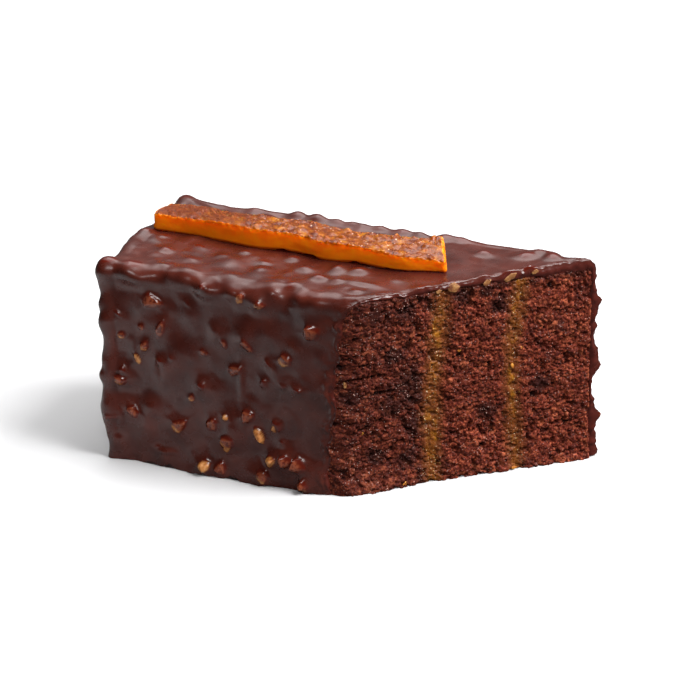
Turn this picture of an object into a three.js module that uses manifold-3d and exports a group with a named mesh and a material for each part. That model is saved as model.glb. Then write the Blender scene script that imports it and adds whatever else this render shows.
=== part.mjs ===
// A loaf cake of dark sponge and marmalade under a nutty chocolate glaze, cut through on the slant.
// Millimetres, +Z up. X runs along the loaf from its whole end to the cut, Y from the front side to
// the back one. The sponge stands as three slabs with a band of marmalade between each pair, the
// glaze wraps the top, both sides and the whole end, and a strip of candied peel lies on top.

import * as THREE from "three";
import { ConvexGeometry } from "three/addons/geometries/ConvexGeometry.js";
import { mergeVertices } from "three/addons/utils/BufferGeometryUtils.js";
import Module from "manifold-3d";

const wasm = await Module();
wasm.setup();

// Loaf, outside the glaze
const WIDTH = 56;
const HEIGHT = 61;
const FRONT_LENGTH = 76.5;
const BACK_LENGTH = 131;
const CUT_LEAN = 5.5; // the foot of the cut stands this far back from its top, at the front side
const BACK_LIFT = 1.3; // how much higher the top is at the back of the cut
const OVERRUN = 8; // how far the uncut loaf is made to run past the cut

// Glaze
const GLAZE_SIDE = 1.6;
const GLAZE_TOP = 1.5;
const GLAZE_ROUND = 3.6;
const GLAZE_FOOT = 0.4; // the glaze ends this far above the table
const GLAZE_GRID = 5.2;
const SOFT_SHARE = 0.41; // where along a rounded edge its middle corner stands
const WAVES = [
  { size: 0.22, along: 6.7, across: 7.9, shear: 0, shift: 0.8 },
  { size: 0.15, along: 3.4, across: 4.6, shear: 1, shift: 1.7 },
];
// The thick roll where the glaze runs over the top edges, and the skirt where it gathers at the foot
const ROLL = { size: 0.9, drop: 2.6, spread: 2.3, wander: 1.1, wanderRun: 6.3, run: 4.7 };
const SKIRT = { size: 0.9, rise: 3.2, run: 5.9 };
const EDGE_FILL = 0.7; // how far the middle of each rounded edge is filled out
const CORNER_SWELL = { size: 1.1, at: 30, spread: 18 }; // the upright corners bulge at this height

// Layers, as places across the loaf
const GAP = 0.3;
const CORE_ROUND = 2.6;
const CORE_TOP = HEIGHT - GLAZE_TOP;
const MARMALADES = {
  front: { middle: [21.3, 20.7, 20.3, 19.8, 20.4, 20.6, 20.8], thick: [2.6, 3.0, 4.0, 3.0, 3.3, 3.5, 2.7] },
  back: { middle: [38.8, 38.5, 37.8, 37.2, 37.0, 37.9, 38.5], thick: [2.3, 2.5, 2.4, 2.2, 2.5, 3.1, 2.9] },
};
const BAND_STEPS = 14;

// Crumb of the cut
const CRUMB_STEP = 2.3;
const CRUMB_PROUD = 0.35;
const CRUMB_DEEP = 0.95;
const CRUMB_SKEW = 1.6; // above 1, most of the crumb stands proud and a few pits go deep
const CRUMB_FOOT = { size: 1.9, at: 7, run: 7, rise: 5 }; // crumb spread out at the foot of the cut
const MARMALADE_SINK = 0.35;
const MARMALADE_ROUGHNESS = 0.4; // its relief against the crumb's
const PLACE_HASH = { y: 12.9898, z: 78.233, spread: 43758.5453 };
const KEEP_MARGIN = 6;
const PLAIN_STEP = 12;

// Candied peel, its form given at even places from its start to its end
const PEEL_START = 2.4;
const PEEL_END = 94;
const PEEL_FORM = {
  front: [29, 29.3, 27.8, 27.3, 27.2, 25.8, 25.7, 26.1, 29.2],
  wide: [9.6, 10.2, 10.1, 10.4, 11, 11.3, 11.6, 12, 12.3],
  thick: [5, 5.2, 5.8, 5.8, 5.4, 5.4, 5, 4.4, 3.6],
  rise: [0, 0, 0, 0.1, 0.6, 0.1, 0.4, 0.1, 0],
};
const PEEL_TWIST = 11; // degrees, the far long edge lifts towards the cut
const PEEL_TWIST_FROM = 0.5; // the share of the strip's length where the twist begins
const PEEL_SLANTS = { start: 0.15, end: -0.3 }; // how far each end runs along for each step across
const PEEL_SLANT_REACH = 8; // the higher, the closer to its end a slant stays
const PEEL_ROUND = 0.8;
const PEEL_SOFT = 0.3; // how much of that rounding the four long corners take
const PEEL_CLEAR = 0.3;
const PEEL_STEPS = 18;

// Repeatable draws
const SEED = 20417;
const DRAW = { times: 1664525, plus: 1013904223, range: 2 ** 32 };
let state = SEED;

/** A repeatable draw from 0 to 1. */
function draw() {
  state = (Math.imul(state, DRAW.times) + DRAW.plus) >>> 0;
  return state / DRAW.range;
}

/** A repeatable draw between two values. */
function between(low, high) {
  return low + (high - low) * draw();
}

/** A closed manifold from a geometry. */
function solid(geometry) {
  geometry.deleteAttribute("normal");
  geometry.deleteAttribute("uv");
  const merged = mergeVertices(geometry, 1e-4);
  const made = new wasm.Mesh({
    numProp: 3,
    vertProperties: new Float32Array(merged.attributes.position.array),
    triVerts: new Uint32Array(merged.index.array),
  });
  return new wasm.Manifold(made);
}

/** The geometry of a manifold. */
function geometryOf(manifold) {
  const made = manifold.getMesh();
  const geometry = new THREE.BufferGeometry();
  geometry.setAttribute("position", new THREE.BufferAttribute(made.vertProperties, 3));
  geometry.setIndex(new THREE.BufferAttribute(made.triVerts, 1));
  geometry.computeVertexNormals();
  return geometry;
}

/** A smooth value at a share of the way along values that are given at even places. */
function evenly(values, share) {
  const curve = new THREE.SplineCurve(values.map((value, i) => new THREE.Vector2(i, value)));
  return curve.getPoint(THREE.MathUtils.clamp(share, 0, 1)).y;
}

/** Evenly spaced stations from low to high, no further apart than step. */
function stations(low, high, step) {
  const count = Math.ceil((high - low) / step);
  return Array.from({ length: count + 1 }, (_, i) => low + ((high - low) * i) / count);
}

/** A closed block with a corner at each station of its faces, moved by place. */
function mould(xs, ys, zs, place) {
  const box = new THREE.BoxGeometry(1, 1, 1, xs.length - 1, ys.length - 1, zs.length - 1);
  const position = box.attributes.position;
  for (let i = 0; i < position.count; i++) {
    const x = xs[Math.round((position.getX(i) + 0.5) * (xs.length - 1))];
    const y = ys[Math.round((position.getY(i) + 0.5) * (ys.length - 1))];
    const z = zs[Math.round((position.getZ(i) + 0.5) * (zs.length - 1))];
    const p = place(x, y, z);
    position.setXYZ(i, p.x, p.y, p.z);
  }
  return solid(box);
}

/** Where the cut crosses the loaf at a place across it and a height. */
function cutAt(y, z) {
  const across = y / WIDTH;
  const lean = CUT_LEAN * (1 - z / HEIGHT) * (1 - across);
  return FRONT_LENGTH + (BACK_LENGTH - FRONT_LENGTH) * across - lean;
}

/** A share from 0.1 to 1 that comes and goes along the outside of the loaf. */
function fullness(round, run) {
  return 0.55 + 0.45 * Math.sin(round / run);
}

/** How far the glaze stands off its plain rounded form: waves, roll, skirt and fuller edges. */
function swell(p, normal) {
  let waves = 0;
  for (const { size, along, across, shear, shift } of WAVES) {
    const lengthwise = Math.sin(p.x / along - (shear * p.z) / across + shift);
    waves += size * lengthwise * Math.sin((p.y + p.z) / across + shift);
  }
  const sideways = Math.hypot(normal.x, normal.y);
  const round = p.x - p.y;
  const drop = HEIGHT - p.z - ROLL.drop - ROLL.wander * Math.sin(round / ROLL.wanderRun);
  const roll = ROLL.size * fullness(round, ROLL.run) * Math.exp(-((drop / ROLL.spread) ** 2));
  const skirt = SKIRT.size * fullness(round, SKIRT.run) * Math.exp(-((p.z / SKIRT.rise) ** 2));
  const corner = 2 * Math.abs(normal.x * normal.y);
  const edge = corner + 2 * Math.abs(normal.z) * sideways;
  const bulge = CORNER_SWELL.size * Math.exp(-(((p.z - CORNER_SWELL.at) / CORNER_SWELL.spread) ** 2));
  return waves + sideways * (roll + skirt) + EDGE_FILL * edge + bulge * corner;
}

/** The glaze's surface over a point of the loaf's plain box: its place and the way it faces. */
function glazeSkin(x, y, z) {
  const r = GLAZE_ROUND;
  const inner = new THREE.Vector3(
    Math.max(x, r),
    THREE.MathUtils.clamp(y, r, WIDTH - r),
    Math.min(z, HEIGHT - r),
  );
  const normal = new THREE.Vector3(x, y, z).sub(inner).normalize();
  const point = inner.addScaledVector(normal, r);
  point.addScaledVector(normal, swell(point, normal));
  point.z += (BACK_LIFT * (y / WIDTH) * (x / BACK_LENGTH) * Math.max(0, z)) / HEIGHT;
  return { point, normal };
}

/** Stations for the glaze, with extra ones where an edge is rounded. */
function roundedStations(low, high, roundLow, roundHigh) {
  const r = GLAZE_ROUND;
  const soft = SOFT_SHARE * r;
  const start = roundLow ? [low, low + soft, low + r] : [low];
  const end = roundHigh ? [high - r, high - soft, high] : [high];
  const first = start[start.length - 1];
  const last = end[0];
  return [...start.slice(0, -1), ...stations(first, last, GLAZE_GRID), ...end.slice(1)];
}

const FACES = {
  front: (u, v) => [u, 0, v],
  back: (u, v) => [u, WIDTH, v],
  end: (u, v) => [0, u, v],
  top: (u, v) => [u, v, HEIGHT],
};

// Nuts that stand out: place on the face, length, width, height and turn in degrees
const SHOWN_NUTS = {
  front: [
    [5.0, 25.3, 4.2, 3.0, 1.3, 10],
    [5.6, 28.6, 3.4, 2.6, 1.0, 80],
    [8.8, 16.2, 4.6, 2.8, 1.3, -55],
    [23.6, 14.2, 6.0, 3.8, 1.4, 30],
    [34.0, 16.2, 4.4, 4.0, 1.2, 60],
    [45.4, 20.9, 5.2, 4.8, 1.5, 20],
    [48.7, 15.4, 5.8, 3.2, 1.5, -65],
    [55.2, 19.6, 5.4, 4.4, 1.3, 30],
    [39.1, 11.8, 5.4, 4.4, 1.4, 25],
    [53.0, 8.0, 4.4, 3.6, 1.5, 40],
    [58.4, 9.0, 4.6, 4.2, 1.7, 15],
    [62.6, 8.2, 5.0, 4.4, 1.8, -20],
    [31.8, 3.2, 4.6, 4.0, 1.8, 30],
    [36.9, 3.0, 4.4, 3.4, 1.3, 80],
    [50.6, 3.2, 5.4, 4.2, 1.2, -70],
    [64.8, 2.8, 3.6, 2.8, 1.3, -50],
    [41.0, 34.2, 5.2, 3.6, 1.2, 20],
    [30.9, 27.8, 3.6, 3.2, 1.1, 45],
    [50.8, 31.6, 3.8, 3.0, 1.1, -40],
    [57.6, 40.4, 4.8, 4.4, 1.2, 15],
    [66.2, 49.9, 6.2, 5.0, 1.5, 0],
    [45.4, 43.0, 5.0, 1.8, 0.9, -55],
    [18.2, 43.2, 6.4, 2.4, 1.1, 70],
    [13.0, 37.6, 4.2, 2.2, 1.1, 60],
    [10.2, 32.8, 4.0, 1.6, 0.9, -75],
    [18.0, 33.6, 4.0, 2.6, 0.9, 0],
    [15.4, 51.6, 7.4, 4.8, 1.2, -5],
    [61.6, 31.6, 3.8, 1.8, 0.8, 5],
    [38.0, 42.0, 3.2, 2.0, 0.8, -70],
    [38.4, 19.3, 2.2, 1.7, 0.8, -20],
    [53.6, 18.2, 2.6, 1.6, 1.1, 80],
    [38.8, 9.4, 2.2, 1.6, 0.9, 30],
    [5.4, 39.4, 3.0, 2.2, 0.7, 70],
    [12.0, 43.0, 2.6, 1.8, 0.6, 60],
    [31.2, 38.0, 2.8, 1.9, 0.6, -15],
    [21.6, 35.0, 2.4, 1.8, 0.6, 0],
    [27.6, 23.4, 2.4, 1.6, 0.5, 75],
    [56.8, 31.9, 2.8, 2.2, 0.7, 10],
    [51.6, 38.2, 3.8, 1.8, 0.7, -50],
    [1.9, 13.6, 2.4, 2.2, 0.8, 0],
    [56.6, 14.2, 3.0, 1.6, 0.6, -30],
    [43.6, 57.3, 3.0, 2.2, 0.9, 60],
    [49.6, 56.2, 3.6, 2.0, 0.7, -10],
    [26.8, 52.4, 5.6, 2.2, 0.6, -38],
    [4.0, 47.0, 4.4, 1.8, 0.6, -40],
    [32.2, 58.6, 2.8, 2.0, 0.9, 20],
    [15.0, 6.0, 4.4, 1.6, 0.4, 10],
    [20.6, 5.2, 4.2, 1.6, 0.4, -15],
  ],
  top: [
    [1.2, 1.8, 4.6, 4.0, 1.1, 0],
    [8.4, 2.4, 6.4, 4.6, 1.0, 20],
    [2.2, 53.4, 5.2, 4.4, 1.2, 0],
    [1.8, 26.6, 3.6, 3.0, 1.0, 60],
    [7.6, 26.2, 3.4, 2.2, 0.6, 10],
    [12.8, 15.6, 3.4, 2.4, 0.8, 20],
    [37.5, 54.4, 4.2, 3.6, 1.6, 30],
    [43.6, 54.0, 4.6, 3.4, 1.6, -20],
    [99.3, 46.6, 4.0, 3.2, 1.4, 10],
    [111.2, 49.8, 5.4, 3.2, 1.3, 30],
    [113.6, 54.2, 3.6, 2.8, 1.1, 0],
    [117.6, 54.0, 4.4, 3.2, 1.3, -10],
    [118.6, 50.8, 3.4, 2.6, 1.0, 30],
    [71.0, 21.6, 5.0, 3.6, 1.4, 20],
    [64.6, 20.8, 3.4, 3.0, 1.2, 70],
    [55.4, 18.0, 4.4, 3.4, 1.2, 0],
    [62.2, 12.8, 3.4, 2.6, 1.2, 15],
    [44.2, 13.0, 3.6, 3.0, 0.9, 50],
    [22.3, 12.4, 4.4, 2.4, 0.8, -20],
    [34.6, 22.8, 3.6, 2.6, 0.9, 5],
    [18.0, 5.5, 3.6, 2.8, 0.9, 35],
    [30.4, 17.0, 3.4, 2.4, 0.6, 0],
    [20.6, 22.0, 4.4, 1.8, 0.5, -35],
    [49.4, 24.0, 3.8, 2.8, 1.0, 30],
    [43.0, 18.2, 3.0, 2.2, 0.6, 0],
    [67.6, 12.2, 3.0, 2.2, 0.9, -10],
    [76.0, 7.4, 3.2, 2.2, 0.8, 30],
    [57.0, 4.8, 4.2, 2.2, 0.6, 70],
    [29.4, 50.6, 4.6, 3.0, 0.9, 10],
    [24.0, 52.6, 3.0, 2.4, 0.7, 0],
    [50.2, 54.6, 2.8, 2.2, 0.9, 0],
    [55.0, 54.4, 2.8, 2.2, 0.7, 20],
    [64.0, 54.2, 3.2, 2.2, 0.6, 0],
    [71.2, 53.8, 4.6, 3.2, 1.3, 10],
    [76.4, 54.2, 3.4, 2.6, 0.9, -20],
    [84.4, 52.8, 5.0, 3.6, 1.4, 15],
    [89.6, 53.4, 3.4, 2.6, 0.8, 0],
    [92.4, 16.8, 5.2, 3.6, 0.9, 20],
    [98.4, 22.9, 5.6, 3.8, 0.9, 50],
    [106.0, 30.8, 3.8, 3.0, 0.6, 10],
    [110.8, 35.8, 5.4, 3.4, 0.9, 40],
    [115.6, 40.6, 4.2, 3.0, 1.2, 60],
  ],
  back: [
    [129.4, 47.8, 3.2, 2.8, 1.2, 0],
    [129.2, 27.2, 4.2, 3.4, 1.9, 80],
    [129.4, 13.0, 3.8, 3.4, 1.9, 60],
  ],
  end: [
    [1.6, 25.5, 3.0, 2.6, 1.3, 90],
    [1.6, 48.0, 3.2, 2.6, 1.2, 60],
  ],
};

// Nuts strewn over the rest of each face: how many, and the stretch of the face that they cover
const STREWN_NUTS = {
  front: { count: 0, u: [3, 69], v: [4, 55] },
  top: { count: 4, u: [6, 100], v: [40, 51] },
  back: { count: 54, u: [4, 127], v: [3, 56] },
  end: { count: 24, u: [4, 52], v: [3, 56] },
};
const NUT_ROOM = 1.1; // clear space between strewn nuts
const NUT_TRIES = 4000;
const EDGE_ROOM = 1.5; // strewn nuts stay this far from the cut and the peel

// Form of a chopped nut: widths and heights are shares of its length and height
const NUT = {
  sides: 6,
  root: 1.1, // how deep it reaches under the skin
  long: [2.2, 5.2],
  wide: [0.55, 0.9],
  high: [0.5, 1.35],
  turn: [-90, 90],
  wander: [-0.2, 0.2], // of each corner round the ring, in steps of the ring
  reach: [0.86, 1.1],
  shrink: [0.55, 0.75],
  tilt: [-0.3, 0.3],
  girdle: 0.12, // height of the widest ring
  crown: 0.95, // height of the top ring
};

/** Whether a place on the top lies under or beside the peel. */
function underPeel(u, v) {
  const t = (u - PEEL_START) / (PEEL_END - PEEL_START);
  if (u > PEEL_END + EDGE_ROOM) return false;
  const front = evenly(PEEL_FORM.front, t);
  return v > front - EDGE_ROOM && v < front + evenly(PEEL_FORM.wide, t) + EDGE_ROOM;
}

/** All the nuts of one face: the ones that stand out, then the strewn ones. */
function nutsOf(face) {
  const nuts = SHOWN_NUTS[face].map((row) => [...row]);
  const { count, u, v } = STREWN_NUTS[face];
  let left = count;
  for (let i = 0; i < NUT_TRIES && left > 0; i++) {
    const long = between(...NUT.long);
    const wide = long * between(...NUT.wide);
    const high = between(...NUT.high);
    const nut = [between(...u), between(...v), long, wide, high, between(...NUT.turn)];
    const [x, y, z] = FACES[face](nut[0], nut[1]);
    const beyondCut = x > cutAt(y, z) - EDGE_ROOM;
    const onPeel = face === "top" && underPeel(nut[0], nut[1]);
    const close = nuts.some((other) => {
      const room = (long + other[2]) / 2 + NUT_ROOM;
      return (nut[0] - other[0]) ** 2 + (nut[1] - other[1]) ** 2 < room * room;
    });
    if (beyondCut || onPeel || close) continue;
    nuts.push(nut);
    left -= 1;
  }
  return nuts;
}

/** One chopped nut, half sunk in the glaze: a ring of corners at the skin, a smaller one on top. */
function nutSolid(face, [u, v, long, wide, high, turn]) {
  const { point, normal } = glazeSkin(...FACES[face](u, v));
  const ahead = new THREE.Vector3(...FACES[face](u + 1, v)).sub(new THREE.Vector3(...FACES[face](u, v)));
  ahead.addScaledVector(normal, -ahead.dot(normal)).normalize();
  const side = new THREE.Vector3().crossVectors(normal, ahead);
  const angle = THREE.MathUtils.degToRad(turn);
  const corners = [];
  const corner = (a, b, c) => {
    const along = a * Math.cos(angle) - b * Math.sin(angle);
    const across = a * Math.sin(angle) + b * Math.cos(angle);
    const place = point.clone().addScaledVector(ahead, along).addScaledVector(side, across);
    corners.push(place.addScaledVector(normal, c));
  };
  const tilt = between(...NUT.tilt);
  for (let k = 0; k < NUT.sides; k++) {
    const bearing = ((k + between(...NUT.wander)) * 2 * Math.PI) / NUT.sides;
    const reach = between(...NUT.reach);
    const a = (reach * Math.cos(bearing) * long) / 2;
    const b = (reach * Math.sin(bearing) * wide) / 2;
    corner(a, b, NUT.girdle * high);
    if (k % 2 === 0) {
      const shrink = between(...NUT.shrink);
      corner(a * shrink, b * shrink, high * (NUT.crown + tilt * Math.cos(bearing)));
    }
  }
  corner(0, 0, -NUT.root);
  return solid(new ConvexGeometry(corners));
}

/** A straight run along the loaf whose section is an outline of places across and heights. */
function bar(outline, from, to) {
  const shape = new THREE.Shape(outline.map(([y, z]) => new THREE.Vector2(y, z)));
  const run = new THREE.ExtrudeGeometry(shape, { depth: to - from, bevelEnabled: false });
  const position = run.attributes.position;
  for (let i = 0; i < position.count; i++) {
    const y = position.getX(i);
    const z = position.getY(i);
    position.setXYZ(i, position.getZ(i) + from, y, z);
  }
  return solid(run);
}

/** A quarter round of an outline, about a centre, from one angle to the next, in degrees. */
function arc(y, z, radius, from, to) {
  return stations(0, 1, 0.25).map((t) => {
    const angle = THREE.MathUtils.degToRad(from + (to - from) * t);
    return [y + radius * Math.cos(angle), z + radius * Math.sin(angle)];
  });
}


/** One side of a marmalade band, bottom to top: sign -1 for its front side, 1 for its back. */
function bandSide(band, sign, extra, top) {
  return stations(0, top, top / BAND_STEPS).map((z) => {
    const half = evenly(band.thick, z / CORE_TOP) / 2;
    return [evenly(band.middle, z / CORE_TOP) + sign * (half + extra), z];
  });
}

/** Everything on the loaf's side of the cut, its end face moved out by relief. */
function keepBlock(step, reliefAt) {
  const facing = new THREE.Vector3(WIDTH, -(BACK_LENGTH - FRONT_LENGTH), 0).normalize();
  const ys = stations(-KEEP_MARGIN, WIDTH + KEEP_MARGIN, step);
  const zs = stations(-KEEP_MARGIN, HEIGHT + KEEP_MARGIN, step);
  return mould([-KEEP_MARGIN, 0], ys, zs, (x, y, z) => {
    if (x < 0) return new THREE.Vector3(x, y, z);
    return new THREE.Vector3(cutAt(y, z), y, z).addScaledVector(facing, reliefAt(y, z));
  });
}

/** Relief of the torn crumb, the same each time for the same place. */
function crumbRelief(y, z) {
  const cell = Math.sin(y * PLACE_HASH.y + z * PLACE_HASH.z) * PLACE_HASH.spread;
  const chance = cell - Math.floor(cell);
  const { size, at, run, rise } = CRUMB_FOOT;
  const foot = size * Math.exp(-(((y - at) / run) ** 2) - (z / rise) ** 2);
  return foot + CRUMB_PROUD - (CRUMB_PROUD + CRUMB_DEEP) * chance ** CRUMB_SKEW;
}

/** The glaze with all its nuts, cut through and hollow where the cake is. */
function glazeSolid() {
  const reach = BACK_LENGTH + OVERRUN;
  const xs = roundedStations(0, reach, true, false);
  const ys = roundedStations(0, WIDTH, true, true);
  const zs = roundedStations(GLAZE_FOOT, HEIGHT, false, true);
  const outside = (x, y, z) => x === 0 || y === 0 || y === WIDTH || z === HEIGHT;
  let coat = mould(xs, ys, zs, (x, y, z) =>
    outside(x, y, z) ? glazeSkin(x, y, z).point : new THREE.Vector3(x, y, z),
  );
  for (const face of Object.keys(FACES)) {
    for (const nut of nutsOf(face)) coat = coat.add(nutSolid(face, nut));
  }
  const low = GLAZE_SIDE;
  const high = WIDTH - GLAZE_SIDE;
  const r = CORE_ROUND;
  const outline = [
    [low, -KEEP_MARGIN],
    [high, -KEEP_MARGIN],
    ...arc(high - r, CORE_TOP - r, r, 0, 90),
    ...arc(low + r, CORE_TOP - r, r, 90, 180),
  ];
  return coat.intersect(keepBlock(PLAIN_STEP, () => 0)).subtract(bar(outline, GLAZE_SIDE, reach));
}

/** A slab of sponge between two borders, each an outline run from bottom to top. */
function spongeSolid(frontBorder, backBorder, crumb) {
  const outline = [...backBorder, ...[...frontBorder].reverse()];
  return bar(outline, GLAZE_SIDE + GAP, BACK_LENGTH + OVERRUN).intersect(crumb);
}

/** A band of marmalade, sunk a little behind the crumb. */
function marmaladeSolid({ front, back }, seep) {
  const outline = [...back, ...[...front].reverse()];
  return bar(outline, GLAZE_SIDE + GAP, BACK_LENGTH + OVERRUN).intersect(seep);
}

/** The strip of candied peel: bent, tapered and twisted, with slanted ends, bedded on the glaze. */
function peelSolid() {
  const corner = PEEL_ROUND / PEEL_FORM.wide[0];
  const xs = stations(0, 1, 1 / PEEL_STEPS);
  const ys = [0, corner, 1 / 3, 2 / 3, 1 - corner, 1];
  const zs = [0, 2 * corner, 1 - 2 * corner, 1];
  return mould(xs, ys, zs, (t, across, up) => {
    const turned = Math.max(0, t - PEEL_TWIST_FROM) / (1 - PEEL_TWIST_FROM);
    const twist = THREE.MathUtils.degToRad(PEEL_TWIST * turned ** 2);
    const onCorner = Math.min(across, 1 - across) === 0 && Math.min(up, 1 - up) === 0;
    const soft = onCorner ? PEEL_SOFT * PEEL_ROUND : 0;
    const wide = across * evenly(PEEL_FORM.wide, t) + (across < 0.5 ? soft : -soft);
    const high = up * evenly(PEEL_FORM.thick, t) + (up < 0.5 ? soft : -soft);
    const slant = PEEL_SLANTS.start * (1 - t) ** PEEL_SLANT_REACH + PEEL_SLANTS.end * t ** PEEL_SLANT_REACH;
    const x = PEEL_START + (PEEL_END - PEEL_START) * t + slant * wide;
    const y = evenly(PEEL_FORM.front, t) + wide * Math.cos(twist) - high * Math.sin(twist);
    const bed = glazeSkin(x, y, HEIGHT).point.z + PEEL_CLEAR + evenly(PEEL_FORM.rise, t);
    return new THREE.Vector3(x, y, bed + wide * Math.sin(twist) + high * Math.cos(twist));
  });
}

const top = CORE_TOP - GAP;
const low = GLAZE_SIDE + GAP;
const high = WIDTH - GLAZE_SIDE - GAP;
const band = (which, extra) => ({
  front: bandSide(MARMALADES[which], -1, extra, top),
  back: bandSide(MARMALADES[which], 1, extra, top),
});
const frontSide = [[low, 0], ...arc(low + CORE_ROUND, top - CORE_ROUND, CORE_ROUND, 180, 90)];
const backSide = [[high, 0], ...arc(high - CORE_ROUND, top - CORE_ROUND, CORE_ROUND, 0, 90)];
const glaze = glazeSolid();
const crumb = keepBlock(CRUMB_STEP, crumbRelief);
const seepRelief = (y, z) => MARMALADE_ROUGHNESS * crumbRelief(y, z) - MARMALADE_SINK;
const seep = keepBlock(CRUMB_STEP, seepRelief);
const pieces = {
  glaze,
  sponge_front: spongeSolid(frontSide, band("front", GAP).front, crumb),
  sponge_middle: spongeSolid(band("front", GAP).back, band("back", GAP).front, crumb),
  sponge_back: spongeSolid(band("back", GAP).back, backSide, crumb),
  marmalade_front: marmaladeSolid(band("front", 0), seep),
  marmalade_back: marmaladeSolid(band("back", 0), seep),
  candied_peel: peelSolid(),
};

const finish = (color, roughness) => new THREE.MeshStandardMaterial({ color, roughness, metalness: 0 });
const MATERIALS = {
  glaze: finish(0x3a211c, 0.3),
  sponge: finish(0x5a2a1e, 0.9),
  marmalade: finish(0x8a5420, 0.35),
  candied: finish(0xc05a08, 0.3),
};

const cake = new THREE.Group();
for (const [name, made] of Object.entries(pieces)) {
  const mesh = new THREE.Mesh(geometryOf(made), MATERIALS[name.split("_")[0]]);
  mesh.name = name;
  cake.add(mesh);
}
const box = new THREE.Box3().setFromObject(cake, true);
const centre = box.getCenter(new THREE.Vector3());
cake.position.set(-centre.x, -centre.y, -box.min.z);

export default cake;
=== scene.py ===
"""Looks of a chocolate orange loaf cake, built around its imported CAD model.

Forms are worked out in millimetres in the loaf's own frame: x from the whole end to the cut, y from
the front side to the back, z up from the table. They become metres in the model's frame when a mesh
is made.
"""

import logging
import math
from collections.abc import Callable, Iterator, Sequence
from dataclasses import dataclass
from enum import Enum

import bpy
import numpy as np
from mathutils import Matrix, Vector

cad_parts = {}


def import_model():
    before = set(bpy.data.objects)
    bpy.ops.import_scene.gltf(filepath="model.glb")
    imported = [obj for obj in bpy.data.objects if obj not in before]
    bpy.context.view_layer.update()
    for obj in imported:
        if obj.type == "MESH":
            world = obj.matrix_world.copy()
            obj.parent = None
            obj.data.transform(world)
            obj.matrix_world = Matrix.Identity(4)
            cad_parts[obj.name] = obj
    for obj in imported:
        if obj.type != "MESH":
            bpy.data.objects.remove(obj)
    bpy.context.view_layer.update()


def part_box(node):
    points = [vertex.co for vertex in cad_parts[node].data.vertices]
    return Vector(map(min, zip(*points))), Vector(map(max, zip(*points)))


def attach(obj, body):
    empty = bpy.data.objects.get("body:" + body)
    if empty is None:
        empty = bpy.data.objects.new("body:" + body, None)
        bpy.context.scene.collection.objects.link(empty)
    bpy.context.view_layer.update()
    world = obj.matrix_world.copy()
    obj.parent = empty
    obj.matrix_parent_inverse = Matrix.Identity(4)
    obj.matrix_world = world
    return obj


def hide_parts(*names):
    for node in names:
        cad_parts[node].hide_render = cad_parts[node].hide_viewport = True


LOG = logging.getLogger("cake")
MM = 0.001
BODY = "root"
NOISE_SEED = 411

Array = np.ndarray
Colour = tuple[float, float, float]
Pair = tuple[float, float]
Row = tuple[float, ...]
Socket = bpy.types.NodeSocket


class Face(Enum):
    """The faces of the loaf that the glaze covers."""

    FRONT = "front"
    BACK = "back"
    END = "end"
    TOP = "top"


class Cover(Enum):
    """How the glaze lies over a chopped nut."""

    THICK = "thick"
    THIN = "thin"
    BARE = "bare"


THICK, THIN, BARE = Cover
NutRow = tuple[float, float, float, float, float, float, Cover]


def smooth(value: Array, low: float, high: float) -> Array:
    """A smooth step of a value: 0 at low and 1 at high, which may be the lower of the two."""
    share = np.clip((value - low) / (high - low), 0.0, 1.0)
    return share * share * (3.0 - 2.0 * share)


def soft_min(a: Array, b: Array, blend: float) -> Array:
    """The lower of two values, rounded where the two are closer than the blend."""
    near = np.maximum(blend - np.abs(a - b), 0.0) / blend
    return np.minimum(a, b) - near * near * blend / 4.0


def bell(offset: Array, reach: float) -> Array:
    """A bell curve: 1 where there is no offset, and about a third at its reach."""
    return np.exp(-((offset / reach) ** 2))


def mound(a: Array, b: Array, row: Row) -> Array:
    """A round swell, given as its place on two axes, its height and its reach on each."""
    at_a, at_b, out, run_a, run_b = row
    return out * np.exp(-(((a - at_a) / run_a) ** 2 + ((b - at_b) / run_b) ** 2))


def side_by_side(*parts: Array) -> Array:
    """Values as the columns of one array, such as x, y and z as places."""
    return np.stack(parts, axis=1)


def quads_of(*corners: Array) -> Array:
    """Four-sided faces, from the arrays of their corners."""
    return np.stack(corners, axis=-1).reshape(-1, 4)


def evenly(values: Sequence[float], share: Array) -> Array:
    """A smooth value at a share of the way along values given at even places.

    Args:
        values: The given values.
        share: Shares from 0 to 1.

    Returns:
        The value at each share, on a Catmull-Rom curve.
    """
    given = np.asarray(values, float)
    last = len(given) - 1
    place = np.clip(share, 0.0, 1.0) * last
    i = np.minimum(np.floor(place).astype(int), last)
    w = place - i
    p0, p1, p2, p3 = (given[np.clip(i + step, 0, last)] for step in (-1, 0, 1, 2))
    v0 = (p2 - p0) / 2.0
    v1 = (p3 - p1) / 2.0
    cubic = 2.0 * p1 - 2.0 * p2 + v0 + v1
    square = -3.0 * p1 + 3.0 * p2 - 2.0 * v0 - v1
    return cubic * w**3 + square * w**2 + v0 * w + p1


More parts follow.
